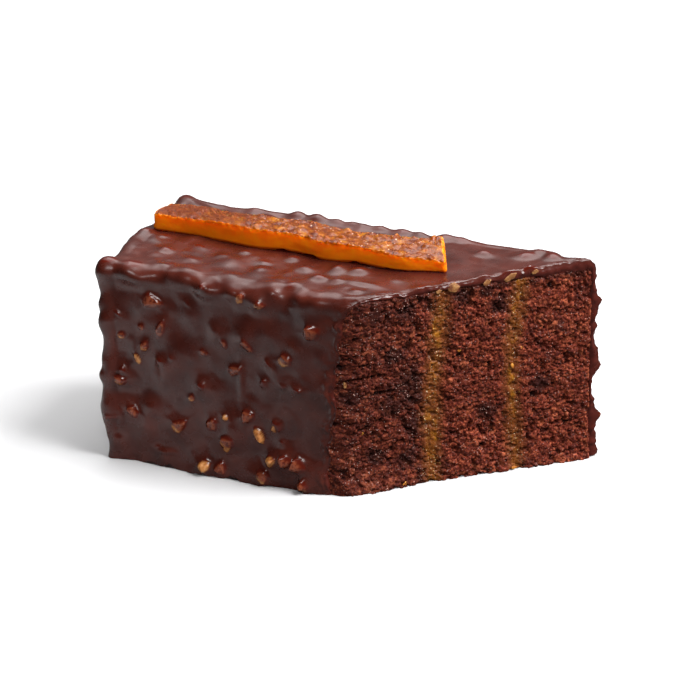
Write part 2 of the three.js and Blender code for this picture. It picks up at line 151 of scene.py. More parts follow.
class Noise:
    """Repeatable noise over places in millimetres, from one table of random numbers."""

    SIZE = 64
    SHIFT = 17.3
    NEIGHBOURS = (-1, 0, 1)
    FAR = 9.0
    DOME_POWER = 1.5
    DOME_REACH = (0.26, 0.3)
    PIT_WALL = (1.05, 0.35)

    def __init__(self, seed: int) -> None:
        """Fills the tables.

        Args:
            seed: What the random numbers follow from.
        """
        table = np.random.default_rng(seed)
        self.values = table.random((self.SIZE,) * 3) * 2.0 - 1.0
        self.table = table.random((self.SIZE, self.SIZE, 4))

    def at(self, places: Array, run: float, octaves: int = 1) -> Array:
        """Smooth noise from -1 to 1.

        Args:
            places: Places, n by 3.
            run: The size of the largest feature.
            octaves: How many halvings of that size are added.

        Returns:
            The noise at each place.
        """
        total = np.zeros(len(places))
        weight, reach = 1.0, 0.0
        for octave in range(octaves):
            p = places * (2.0**octave / run) + self.SHIFT * octave
            low = np.floor(p).astype(int)
            w = p - low
            w = w * w * (3.0 - 2.0 * w)
            part = np.zeros(len(p))
            for corner in range(8):
                bits = np.array([corner & 1, corner >> 1 & 1, corner >> 2 & 1])
                at = (low + bits) % self.SIZE
                share = np.where(bits, w, 1.0 - w).prod(axis=1)
                part += share * self.values[at[:, 0], at[:, 1], at[:, 2]]
            total += weight * part
            reach += weight
            weight *= 0.5
        return total / reach

    def _cells(self, a: Array, b: Array, run: float) -> Iterator[tuple[Array, Array]]:
        """The nine cells about each place, each with a point scattered in it.

        Args:
            a: First coordinates.
            b: Second coordinates.
            run: The size of a cell.

        Yields:
            A cell's four random numbers, and how far its point is, as a share of a cell.
        """
        p, q = a / run, b / run
        i, j = np.floor(p).astype(int), np.floor(q).astype(int)
        for di in self.NEIGHBOURS:
            for dj in self.NEIGHBOURS:
                cell = self.table[(i + di) % self.SIZE, (j + dj) % self.SIZE]
                yield cell, np.hypot(i + di + cell[:, 0] - p, j + dj + cell[:, 1] - q)

    def lumps(self, a: Array, b: Array, run: float) -> tuple[Array, Array, Array, Array]:
        """The two nearest of the scattered points.

        Args:
            a: First coordinates.
            b: Second coordinates.
            run: The size of a cell.

        Returns:
            Distance to the nearest point and to the next, both as shares of a cell, and two random
            numbers of the nearest point.
        """
        first, second = np.full(len(a), self.FAR), np.full(len(a), self.FAR)
        tone, other = np.zeros(len(a)), np.zeros(len(a))
        for cell, far in self._cells(a, b, run):
            nearer = far < first
            second = np.where(nearer, first, np.minimum(second, far))
            tone = np.where(nearer, cell[:, 2], tone)
            other = np.where(nearer, cell[:, 3], other)
            first = np.where(nearer, far, first)
        return first, second, tone, other

    def domes(self, a: Array, b: Array, run: float) -> Array:
        """Smooth round bumps of many sizes that run into each other.

        Args:
            a: First coordinates.
            b: Second coordinates.
            run: The size of a cell, which holds one bump.

        Returns:
            Height at each place, mostly between 0 and 1.
        """
        total = np.zeros(len(a))
        for cell, far in self._cells(a, b, run):
            reach = self.DOME_REACH[0] + self.DOME_REACH[1] * cell[:, 2]
            total += cell[:, 3] ** self.DOME_POWER * bell(far, reach)
        return total

    def pits(self, a: Array, b: Array, run: float, radius: Pair, share: float) -> Array:
        """Round pits scattered one to a cell, of which only a share is there.

        Args:
            a: First coordinates.
            b: Second coordinates.
            run: The size of a cell.
            radius: The smallest and the largest pit radius.
            share: How many of the cells hold a pit.

        Returns:
            Depth at each place, in the units of radius: 0 outside every pit.
        """
        deepest = np.zeros(len(a))
        for cell, far in self._cells(a, b, run):
            size = radius[0] + (radius[1] - radius[0]) * cell[:, 3] ** 2
            dip = size * smooth(far * run / size, *self.PIT_WALL)
            deepest = np.maximum(deepest, np.where(cell[:, 2] < share, dip, 0.0))
        return deepest


@dataclass(frozen=True)
class Frame:
    """Where the loaf's own frame lies in the model's frame."""

    origin: Vector

    @classmethod
    def from_model(cls, loaf: "Loaf") -> "Frame":
        """The frame that puts the front slab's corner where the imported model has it.

        Args:
            loaf: The loaf's form.

        Returns:
            The frame.
        """
        low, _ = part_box("sponge_front")
        inset = (loaf.glaze_side + loaf.gap) * MM
        return cls(low - Vector((inset, inset, 0.0)))

    def metres(self, places: Array) -> Array:
        """Places in the model's frame, in metres."""
        return places * MM + np.array(self.origin)

    def point(self, x: float, y: float, z: float) -> Vector:
        """One place in the model's frame, in metres."""
        return Vector((x, y, z)) * MM + self.origin


@dataclass(frozen=True)
class Loaf:
    """The loaf's form in millimetres: its box, its slanted cut, its glaze skin and its layers."""

    # Middle across the loaf and thickness of each marmalade band, at even heights
    BANDS = {
        "front": (
            (21.3, 20.7, 20.3, 19.8, 20.4, 20.6, 20.8),
            (2.6, 3.0, 4.0, 3.0, 3.3, 3.5, 2.7),
        ),
        "back": (
            (38.8, 38.5, 37.8, 37.2, 37.0, 37.9, 38.5),
            (2.3, 2.5, 2.4, 2.2, 2.5, 3.1, 2.9),
        ),
    }

    width: float = 56.0
    height: float = 61.0
    front_length: float = 76.5
    back_length: float = 131.0
    cut_lean: float = 5.5
    back_lift: float = 1.3
    glaze_side: float = 1.6
    glaze_top: float = 1.5
    glaze_foot: float = 0.4
    glaze_round: float = 3.6
    # Where edges are rounder: by how much, and the spans across and along in which that fades in
    rounder: tuple[tuple[float, Pair, Pair], ...] = (
        (1.5, (16.0, 6.0), (2.0, 12.0)),
        (3.0, (38.0, 50.0), (108.0, 124.0)),
    )
    gap: float = 0.3
    core_round: float = 2.6
    # Slow waves: size, run along, run across, shear and shift
    waves: tuple[Row, ...] = ((0.22, 6.7, 7.9, 0.0, 0.8), (0.15, 3.4, 4.6, 1.0, 1.7))
    roll_size: float = 0.9
    roll_run: float = 4.7
    roll_drop: float = 2.6
    roll_spread: float = 3.0
    roll_wander: float = 1.1
    roll_wander_run: float = 6.3
    skirt_size: float = 0.9
    skirt_run: float = 5.9
    skirt_rise: float = 3.2
    edge_fill: float = 0.7
    corner_size: float = 1.1
    corner_at: float = 30.0
    corner_spread: float = 18.0
    # How far the cut is torn back at the front side, at even heights from the foot to the top
    torn: Row = (
        *(0.9, 1.6, 2.6, 2.2, 3.2, 2.6, 3.0, 1.6, 2.0, 3.2),
        *(2.5, 3.3, 2.2, 2.9, 1.7, 2.2, 0.8, 0.2),
    )
    torn_span: Pair = (3.6, 0.2)

    @property
    def core_top(self) -> float:
        """Height of the sponge's top."""
        return self.height - self.glaze_top

    @property
    def facing(self) -> Array:
        """The way the cut faces."""
        way = np.array([self.width, self.front_length - self.back_length, 0.0])
        return way / np.linalg.norm(way)

    @property
    def cut_stretch(self) -> float:
        """Millimetres along the cut for each millimetre across the loaf."""
        return math.hypot(self.width, self.back_length - self.front_length) / self.width

    def cut_at(self, y: Array, z: Array) -> Array:
        """Where the cut crosses the loaf.

        Args:
            y: Places across the loaf.
            z: Heights.

        Returns:
            The place along the loaf at each.
        """
        across = y / self.width
        lean = self.cut_lean * (1.0 - z / self.height) * (1.0 - across)
        lean = lean + evenly(self.torn, z / self.height) * smooth(y, *self.torn_span)
        return self.front_length + (self.back_length - self.front_length) * across - lean

    @staticmethod
    def fullness(around: Array, run: float) -> Array:
        """A share from 0.1 to 1 that comes and goes along the outside of the loaf."""
        return 0.55 + 0.45 * np.sin(around / run)

    def swell(self, p: Array, normal: Array) -> Array:
        """How far the glaze stands off its plain rounded form.

        Args:
            p: Places on the plain rounded form.
            normal: The way it faces there.

        Returns:
            Waves, the roll at the top edges, the skirt at the foot and fuller edges, added up.
        """
        waves = np.zeros(len(p))
        for size, along, across, shear, shift in self.waves:
            lengthwise = np.sin(p[:, 0] / along - shear * p[:, 2] / across + shift)
            waves += size * lengthwise * np.sin((p[:, 1] + p[:, 2]) / across + shift)
        sideways = np.hypot(normal[:, 0], normal[:, 1])
        around = p[:, 0] - p[:, 1]
        drop = self.height - p[:, 2] - self.roll_drop
        drop -= self.roll_wander * np.sin(around / self.roll_wander_run)
        roll = self.roll_size * self.fullness(around, self.roll_run)
        roll *= bell(drop, self.roll_spread)
        skirt = self.skirt_size * self.fullness(around, self.skirt_run)
        skirt *= bell(p[:, 2], self.skirt_rise)
        corner = 2.0 * np.abs(normal[:, 0] * normal[:, 1])
        edge = corner + 2.0 * np.abs(normal[:, 2]) * sideways
        bulge = self.corner_size * bell(p[:, 2] - self.corner_at, self.corner_spread)
        return waves + sideways * (roll + skirt) + self.edge_fill * edge + bulge * corner

    def skin(self, box: Array) -> tuple[Array, Array]:
        """The glaze's surface over places on the loaf's plain box.

        Args:
            box: Places on the plain box, n by 3.

        Returns:
            The places on the surface and the way it faces there.
        """
        r = np.full(len(box), self.glaze_round)
        for extra, across, along in self.rounder:
            r += extra * smooth(box[:, 1], *across) * smooth(box[:, 0], *along)
        inner = side_by_side(
            np.maximum(box[:, 0], r),
            np.clip(box[:, 1], r, self.width - r),
            np.minimum(box[:, 2], self.height - r),
        )
        normal = box - inner
        normal /= np.maximum(np.linalg.norm(normal, axis=1, keepdims=True), 1e-9)
        point = inner + normal * r[:, None]
        point += normal * self.swell(point, normal)[:, None]
        lift = self.back_lift * (box[:, 1] / self.width) * (box[:, 0] / self.back_length)
        point[:, 2] += lift * np.maximum(box[:, 2], 0.0) / self.height
        return point, normal

    def band_edge(self, which: str, side: float, extra: float, z: Array) -> Array:
        """Where a marmalade band's border stands across the loaf.

        Args:
            which: The band, front or back.
            side: -1 for its front border, 1 for its back one.
            extra: How much further out than the band itself.
            z: Heights.

        Returns:
            The place across the loaf at each height.
        """
        middle, thick = self.BANDS[which]
        half = evenly(thick, z / self.core_top) / 2.0
        return evenly(middle, z / self.core_top) + side * (half + extra)


class Draws:
    """Repeatable draws, the same ones as the solids were made with."""

    TIMES = 1664525
    PLUS = 1013904223
    RANGE = 2**32

    def __init__(self, seed: int) -> None:
        """Starts the draws from a seed."""
        self.state = seed

    def between(self, low: float, high: float) -> float:
        """A draw between two values."""
        self.state = (self.state * self.TIMES + self.PLUS) % self.RANGE
        return low + (high - low) * self.state / self.RANGE


@dataclass(frozen=True)
class PeelForm:
    """The candied strip's form in millimetres, given at even places from its start to its end."""

    start: float = 2.4
    end: float = 94.0
    front: Row = (29, 29.3, 27.8, 27.3, 27.2, 25.8, 25.7, 26.1, 29.2)
    wide: Row = (9.6, 10.2, 10.1, 10.4, 11, 11.3, 11.6, 12, 12.3)
    thick: Row = (5, 5.2, 5.8, 5.8, 5.4, 5.4, 5, 4.4, 3.6)
    rise: Row = (0, -0.1, -0.2, -0.1, 0.35, -0.1, 0.3, 0.1, 0)
    twist: float = 11.0
    twist_from: float = 0.5
    start_slant: float = 0.15
    end_slant: float = -0.3
    slant_reach: float = 8.0
    clear: float = 0.3


@dataclass(frozen=True)
class Nut:
    """One chopped nut as the planes of its solid, with how the glaze lies over it."""

    centre: Array
    up: Array
    along: Array
    across: Array
    long: float
    wide: float
    high: float
    reach: float
    normals: Array
    offsets: Array
    soft: bool
    cover: Cover
    grazing: float = 0.16

    def depth_out(self, places: Array, way: Array, edge: float, grow: float) -> Array:
        """How far the nut's surface lies from places, going one way.

        Args:
            places: Places on the skin, n by 3.
            way: The way the skin faces there.
            edge: How much the nut's own edges are rounded.
            grow: How much the film over it widens it.

        Returns:
            The distance out to the nut's surface, below 0 where the place isn't under the nut.
        """
        out = None
        for normal, offset in zip(self.normals, self.offsets):
            leaving = np.maximum(way @ normal, self.grazing)
            limit = (offset + grow * (1.0 - leaving) - places @ normal) / leaving
            out = limit if out is None else soft_min(out, limit, edge)
        return out


class NutBed:
    """All the chopped nuts under the glaze, in the places that the solids give them."""

    SEED = 20417
    TRIES = 4000
    ROOM = 1.1
    EDGE_ROOM = 1.5
    SIDES = 6
    LONG = (2.2, 5.2)
    WIDE = (0.55, 0.9)
    HIGH = (0.5, 1.35)
    TURN = (-90.0, 90.0)
    WANDER = (-0.2, 0.2)
    REACH = (0.86, 1.1)
    SHRINK = (0.55, 0.75)
    TILT = (-0.3, 0.3)
    GIRDLE = 0.12
    CROWN = 0.95
    MIDDLE = 0.3
    # Beyond how much of its length, and how many millimetres more, a nut changes nothing
    INFLUENCE = (0.75, 3.4)
    # How many are strewn over each face, and the spans in which they lie
    STREWN = {
        Face.FRONT: (0, (3.0, 69.0), (4.0, 55.0)),
        Face.BACK: (54, (4.0, 127.0), (3.0, 56.0)),
        Face.END: (24, (4.0, 52.0), (3.0, 56.0)),
        Face.TOP: (4, (6.0, 100.0), (40.0, 51.0)),
    }
    STREWN_COVERS = (THICK, THIN, THIN, THICK, BARE, THIN)
    # Place on the face, length, width, height, turn in degrees and cover
    SHOWN: dict[Face, tuple[NutRow, ...]] = {
        Face.FRONT: (
            (5.0, 25.3, 4.2, 3.0, 1.3, 10, THIN), (5.6, 28.6, 3.4, 2.6, 1.0, 80, THICK),
            (8.8, 16.2, 4.6, 2.8, 1.3, -55, THIN), (23.6, 14.2, 6.0, 3.8, 1.4, 30, THIN),
            (34.0, 16.2, 4.4, 4.0, 1.2, 60, THIN), (45.4, 20.9, 5.2, 4.8, 1.5, 20, THIN),
            (48.7, 15.4, 5.8, 3.2, 1.5, -65, BARE), (55.2, 19.6, 5.4, 4.4, 1.3, 30, THICK),
            (39.1, 11.8, 5.4, 4.4, 1.4, 25, THIN), (53.0, 8.0, 4.4, 3.6, 1.5, 40, BARE),
            (58.4, 9.0, 4.6, 4.2, 1.7, 15, THIN), (62.6, 8.2, 5.0, 4.4, 1.8, -20, THIN),
            (31.8, 3.2, 4.6, 4.0, 1.8, 30, BARE), (36.9, 3.0, 4.4, 3.4, 1.3, 80, THIN),
            (50.6, 3.2, 5.4, 4.2, 1.2, -70, THIN), (64.8, 2.8, 3.6, 2.8, 1.3, -50, THIN),
            (41.0, 34.2, 5.2, 3.6, 1.2, 20, THIN), (30.9, 27.8, 3.6, 3.2, 1.1, 45, THICK),
            (50.8, 31.6, 3.8, 3.0, 1.1, -40, THICK), (57.6, 40.4, 4.8, 4.4, 1.2, 15, THIN),
            (66.2, 49.9, 6.2, 5.0, 1.5, 0, THIN), (45.4, 43.0, 5.0, 1.8, 0.9, -55, THIN),
            (18.2, 43.2, 6.4, 2.4, 1.1, 70, THIN), (13.0, 37.6, 4.2, 2.2, 1.1, 60, THIN),
            (10.2, 32.8, 4.0, 1.6, 0.9, -75, BARE), (18.0, 33.6, 4.0, 2.6, 0.9, 0, THICK),
            (15.4, 51.6, 7.4, 4.8, 1.2, -5, THIN), (61.6, 31.6, 3.8, 1.8, 0.8, 5, THICK),
            (38.0, 42.0, 3.2, 2.0, 0.8, -70, THIN), (38.4, 19.3, 2.2, 1.7, 0.8, -20, BARE),
            (53.6, 18.2, 2.6, 1.6, 1.1, 80, BARE), (38.8, 9.4, 2.2, 1.6, 0.9, 30, BARE),
            (5.4, 39.4, 3.0, 2.2, 0.7, 70, THIN), (12.0, 43.0, 2.6, 1.8, 0.6, 60, THIN),
            (31.2, 38.0, 2.8, 1.9, 0.6, -15, THIN), (21.6, 35.0, 2.4, 1.8, 0.6, 0, THICK),
            (27.6, 23.4, 2.4, 1.6, 0.5, 75, THIN), (56.8, 31.9, 2.8, 2.2, 0.7, 10, THICK),
            (51.6, 38.2, 3.8, 1.8, 0.7, -50, THICK), (1.9, 13.6, 2.4, 2.2, 0.8, 0, THICK),
            (56.6, 14.2, 3.0, 1.6, 0.6, -30, THICK), (43.6, 57.3, 3.0, 2.2, 0.9, 60, THIN),
            (49.6, 56.2, 3.6, 2.0, 0.7, -10, THIN), (26.8, 52.4, 5.6, 2.2, 0.6, -38, THICK),
            (4.0, 47.0, 4.4, 1.8, 0.6, -40, THICK), (32.2, 58.6, 2.8, 2.0, 0.9, 20, THICK),
            (15.0, 6.0, 4.4, 1.6, 0.4, 10, THICK), (20.6, 5.2, 4.2, 1.6, 0.4, -15, THICK),
        ),
        Face.TOP: (
            (1.2, 1.8, 4.6, 4.0, 1.1, 0, THIN), (8.4, 2.4, 6.4, 4.6, 1.0, 20, THIN),
            (2.2, 53.4, 5.2, 4.4, 1.2, 0, THICK), (1.8, 26.6, 3.6, 3.0, 1.0, 60, THICK),
            (7.6, 26.2, 3.4, 2.2, 0.6, 10, THICK), (12.8, 15.6, 3.4, 2.4, 0.8, 20, THIN),
            (37.5, 54.4, 4.2, 3.6, 1.6, 30, THICK), (43.6, 54.0, 4.6, 3.4, 1.6, -20, THICK),
            (99.3, 46.6, 4.0, 3.2, 1.4, 10, THIN), (111.2, 49.8, 5.4, 3.2, 1.3, 30, THIN),
            (113.6, 54.2, 3.6, 2.8, 1.1, 0, THIN), (117.6, 54.0, 4.4, 3.2, 1.3, -10, THIN),
            (118.6, 50.8, 3.4, 2.6, 1.0, 30, THIN), (71.0, 21.6, 5.0, 3.6, 1.4, 20, THICK),
            (64.6, 20.8, 3.4, 3.0, 1.2, 70, THICK), (55.4, 18.0, 4.4, 3.4, 1.2, 0, THICK),
            (62.2, 12.8, 3.4, 2.6, 1.2, 15, THIN), (44.2, 13.0, 3.6, 3.0, 0.9, 50, THICK),
            (22.3, 12.4, 4.4, 2.4, 0.8, -20, THICK), (34.6, 22.8, 3.6, 2.6, 0.9, 5, THICK),
            (18.0, 5.5, 3.6, 2.8, 0.9, 35, THICK), (30.4, 17.0, 3.4, 2.4, 0.6, 0, THICK),
            (20.6, 22.0, 4.4, 1.8, 0.5, -35, THIN), (49.4, 24.0, 3.8, 2.8, 1.0, 30, THICK),
            (43.0, 18.2, 3.0, 2.2, 0.6, 0, THICK), (67.6, 12.2, 3.0, 2.2, 0.9, -10, THICK),
            (76.0, 7.4, 3.2, 2.2, 0.8, 30, THICK), (57.0, 4.8, 4.2, 2.2, 0.6, 70, THICK),
            (29.4, 50.6, 4.6, 3.0, 0.9, 10, THICK), (24.0, 52.6, 3.0, 2.4, 0.7, 0, THICK),
            (50.2, 54.6, 2.8, 2.2, 0.9, 0, THICK), (55.0, 54.4, 2.8, 2.2, 0.7, 20, THICK),
            (64.0, 54.2, 3.2, 2.2, 0.6, 0, THICK), (71.2, 53.8, 4.6, 3.2, 1.3, 10, THIN),
            (76.4, 54.2, 3.4, 2.6, 0.9, -20, THICK), (84.4, 52.8, 5.0, 3.6, 1.4, 15, THIN),
            (89.6, 53.4, 3.4, 2.6, 0.8, 0, THIN), (92.4, 16.8, 5.2, 3.6, 0.9, 20, THICK),
            (98.4, 22.9, 5.6, 3.8, 0.9, 50, THICK), (106.0, 30.8, 3.8, 3.0, 0.6, 10, THICK),
            (110.8, 35.8, 5.4, 3.4, 0.9, 40, THICK), (115.6, 40.6, 4.2, 3.0, 1.2, 60, THIN),
        ),
        Face.BACK: (
            (129.4, 47.8, 3.2, 2.8, 1.2, 0, THIN), (129.2, 27.2, 4.2, 3.4, 1.9, 80, THIN),
            (129.4, 13.0, 3.8, 3.4, 1.9, 60, BARE),
        ),
        Face.END: (
            (1.6, 25.5, 3.0, 2.6, 1.3, 90, THICK), (1.6, 48.0, 3.2, 2.6, 1.2, 60, THICK),
        ),
    }  # fmt: skip

    def __init__(self, loaf: Loaf, peel: PeelForm) -> None:
        """Draws every nut of every face.

        Args:
            loaf: The loaf's form.
            peel: The candied strip's form.
        """
        self.loaf = loaf
        self.peel = peel
        self.draws = Draws(self.SEED)
        self.nuts: list[Nut] = []
        for face in Face:
            for number, row in enumerate(self._rows(face)):
                shown = number < len(self.SHOWN[face])
                soft = face is Face.TOP or (shown and face is not Face.FRONT)
                self.nuts.append(self._nut(face, row, soft))

    def _on_box(self, face: Face, u: float, v: float) -> Array:
        """The place on the loaf's plain box of a place on one of its faces.

        Args:
            face: The face.
            u: The place along it, or across it on the whole end.
            v: The place up it, or across it on the top.

        Returns:
            The place in the loaf's frame.
        """
        places = {
            Face.FRONT: (u, 0.0, v),
            Face.BACK: (u, self.loaf.width, v),
            Face.END: (0.0, u, v),
            Face.TOP: (u, v, self.loaf.height),
        }
        return np.array(places[face])

    def _under_peel(self, u: float, v: float) -> bool:
        """Whether a place on the top lies under or beside the peel.

        Args:
            u: The place along the top.
            v: The place across it.

        Returns:
            True where it does.
        """
        peel = self.peel
        if u > peel.end + self.EDGE_ROOM:
            return False
        share = np.array((u - peel.start) / (peel.end - peel.start))
        front, wide = float(evenly(peel.front, share)), float(evenly(peel.wide, share))
        return front - self.EDGE_ROOM < v < front + wide + self.EDGE_ROOM

    def _rows(self, face: Face) -> list[NutRow]:
        """The nuts of one face: the ones that stand out, then the strewn ones.

        Args:
            face: The face.

        Returns:
            Each nut's measures with its cover.
        """
        rows = list(self.SHOWN[face])
        left, span_u, span_v = self.STREWN[face]
        for _ in range(self.TRIES if left else 0):
            long = self.draws.between(*self.LONG)
            wide = long * self.draws.between(*self.WIDE)
            high = self.draws.between(*self.HIGH)
            u = self.draws.between(*span_u)
            v = self.draws.between(*span_v)
            turn = self.draws.between(*self.TURN)
            x, y, z = self._on_box(face, u, v)
            if x > self.loaf.cut_at(y, z) - self.EDGE_ROOM:
                continue
            if face is Face.TOP and self._under_peel(u, v):
                continue
            apart = [math.hypot(u - row[0], v - row[1]) - (long + row[2]) / 2 for row in rows]
            if min(apart, default=self.ROOM) < self.ROOM:
                continue
            cover = self.STREWN_COVERS[left % len(self.STREWN_COVERS)]
            rows.append((u, v, long, wide, high, turn, cover))
            left -= 1
            if not left:
                break
        return rows

    def _nut(self, face: Face, row: NutRow, soft: bool) -> Nut:
        """One nut's solid: a ring of corners at the skin and a smaller one on top.

        Args:
            face: The face that it lies on.
            row: Its place, length, width, height, turn and cover.
            soft: Whether it shows as a soft lump.

        Returns:
            The nut as the planes of its faces.
        """
        u, v, long, wide, high, turn, cover = row
        here = self._on_box(face, u, v)
        point, normal = (part[0] for part in self.loaf.skin(here[None, :]))
        ahead = self._on_box(face, u + 1.0, v) - here
        ahead = ahead - normal * (ahead @ normal)
        ahead /= np.linalg.norm(ahead)
        side = np.cross(normal, ahead)
        angle = math.radians(turn)
        cos, sin = math.cos(angle), math.sin(angle)
        tilt = self.draws.between(*self.TILT)

        def corner(a: float, b: float, c: float) -> Array:
            """A corner, from its places along and across the nut and its height."""
            return point + ahead * (a * cos - b * sin) + side * (a * sin + b * cos) + normal * c

        girdle: list[Array] = []
        crown: list[Array] = []
        for k in range(self.SIDES):
            bearing = (k + self.draws.between(*self.WANDER)) * 2.0 * math.pi / self.SIDES
            reach = self.draws.between(*self.REACH)
            a = reach * math.cos(bearing) * long / 2.0
            b = reach * math.sin(bearing) * wide / 2.0
            girdle.append(corner(a, b, self.GIRDLE * high))
            if k % 2 == 0:
                shrink = self.draws.between(*self.SHRINK)
                lift = high * (self.CROWN + tilt * math.cos(bearing))
                crown.append(corner(a * shrink, b * shrink, lift))
        planes = [tuple(crown)]
        for k in range(self.SIDES):
            after = (k + 1) % self.SIDES
            next_top = crown[(after // 2) % len(crown)]
            planes.append((girdle[k], girdle[after], crown[k // 2] if k % 2 == 0 else next_top))
            if k % 2 == 1:
                planes.append((girdle[k], next_top, crown[k // 2]))
        middle = point + normal * (self.MIDDLE * high)
        normals, offsets = [], []
        for p, q, r in planes:
            way = np.cross(q - p, r - p)
            way /= np.linalg.norm(way)
            if way @ (p - middle) < 0:
                way = -way
            normals.append(way)
            offsets.append(way @ p)
        return Nut(
            centre=point,
            up=normal,
            along=ahead * cos + side * sin,
            across=side * cos - ahead * sin,
            long=long,
            wide=wide,
            high=high,
            reach=self.INFLUENCE[0] * long + self.INFLUENCE[1],
            normals=np.array(normals),
            offsets=np.array(offsets),
            soft=soft,
            cover=cover,
        )


@dataclass
class Shape:
    """A mesh on its way: places in millimetres, faces, and values that its material reads."""

    places: Array
    quads: Array
    polygons: list[list[int]]
    marks: dict[str, Array]

    def build(
        self, name: str, frame: Frame, material: bpy.types.Material, sharp: float | None = None
    ) -> bpy.types.Object:
        """Makes the object that shows this shape.

        Args:
            name: The piece's name.
            frame: Where the loaf's frame lies.
            material: Its finish.
            sharp: Edges that turn by more than this many degrees look sharp, where given.

        Returns:
            The object, in the scene.
        """
        mesh = bpy.data.meshes.new(name)
        places = frame.metres(self.places).astype(np.float32)
        mesh.vertices.add(len(places))
        mesh.vertices.foreach_set("co", places.ravel())
        extra = [i for polygon in self.polygons for i in polygon]
        loops = np.concatenate([self.quads.ravel(), np.array(extra, int)]).astype(np.int32)
        sizes = np.array([4] * len(self.quads) + [len(p) for p in self.polygons], np.int32)
        starts = np.concatenate([[0], np.cumsum(sizes)[:-1]]).astype(np.int32)
        mesh.loops.add(len(loops))
        mesh.loops.foreach_set("vertex_index", loops)
        mesh.polygons.add(len(sizes))
        mesh.polygons.foreach_set("loop_start", starts)
        mesh.polygons.foreach_set("use_smooth", np.ones(len(sizes), bool))
        mesh.update(calc_edges=True)
        for mark, values in self.marks.items():
            layer = mesh.attributes.new(mark, "FLOAT", "POINT")
            layer.data.foreach_set("value", np.asarray(values, np.float32))
        mesh.validate()
        if sharp is not None:
            mesh.set_sharp_from_angle(angle=math.radians(sharp))
        mesh.materials.append(material)
        piece = bpy.data.objects.new(name, mesh)
        bpy.context.scene.collection.objects.link(piece)
        return piece


def place_piece(piece: bpy.types.Object, slot: str, *nodes: str) -> None:
    """Makes a piece ride on the cake and stand for its solids.

    Args:
        piece: The piece.
        slot: Not used.
        nodes: The solids that it stands for.
    """
    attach(piece, BODY)
    if nodes:
        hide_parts(*nodes)
    LOG.info("%s: %d faces", piece.name, len(piece.data.polygons))


class Wiring:
    """A node tree being wired: adds nodes, sets their sockets and joins them."""

    def __init__(self, tree: bpy.types.NodeTree) -> None:
        """Keeps the tree."""
        self.tree = tree

    def set(self, node: bpy.types.Node, sockets: dict[str | int, object]) -> None:
        """Sets or joins a node's inputs.

        Args:
            node: The node.
            sockets: A value, or another node's output, for each input named.
        """
        for key, value in sockets.items():
            socket = node.inputs[key]
            if isinstance(value, Socket):
                self.tree.links.new(value, socket)
            else:
                socket.default_value = (*value, 1.0) if socket.type == "RGBA" else value

    def add(
        self, kind: str, sockets: dict[str | int, object] | None = None, **settings: object
    ) -> bpy.types.Node:
        """Adds a node.

        Args:
            kind: Its type name.
            sockets: A value, or another node's output, for each input named.
            settings: Its own settings.

        Returns:
            The node.
        """
        node = self.tree.nodes.new(kind)
        for key, value in settings.items():
            setattr(node, key, value)
        self.set(node, sockets or {})
        return node

    def mark(self, name: str) -> Socket:
        """A value that the mesh carries."""
        return self.add("ShaderNodeAttribute", attribute_name=name).outputs["Fac"]

    def step(
        self, value: Socket, low: float, high: float, start: float = 0.0, end: float = 1.0
    ) -> Socket:
        """A smooth step of a value, from start at low to end at high."""
        sockets = {0: value, 1: low, 2: high, 3: start, 4: end}
        return self.add("ShaderNodeMapRange", sockets, interpolation_type="SMOOTHSTEP").outputs[0]

    def sum(self, operation: str, a: object, b: object) -> Socket:
        """One sum of two values, such as ADD."""
        return self.add("ShaderNodeMath", {0: a, 1: b}, operation=operation).outputs["Value"]

    def times(self, a: object, b: object) -> Socket:
        """The product of two values."""
        return self.sum("MULTIPLY", a, b)

    def mix(self, share: object, a: object, b: object) -> Socket:
        """A mix of two colours, with a share of the second."""
        return self.add("ShaderNodeMix", {0: share, 6: a, 7: b}, data_type="RGBA").outputs[2]


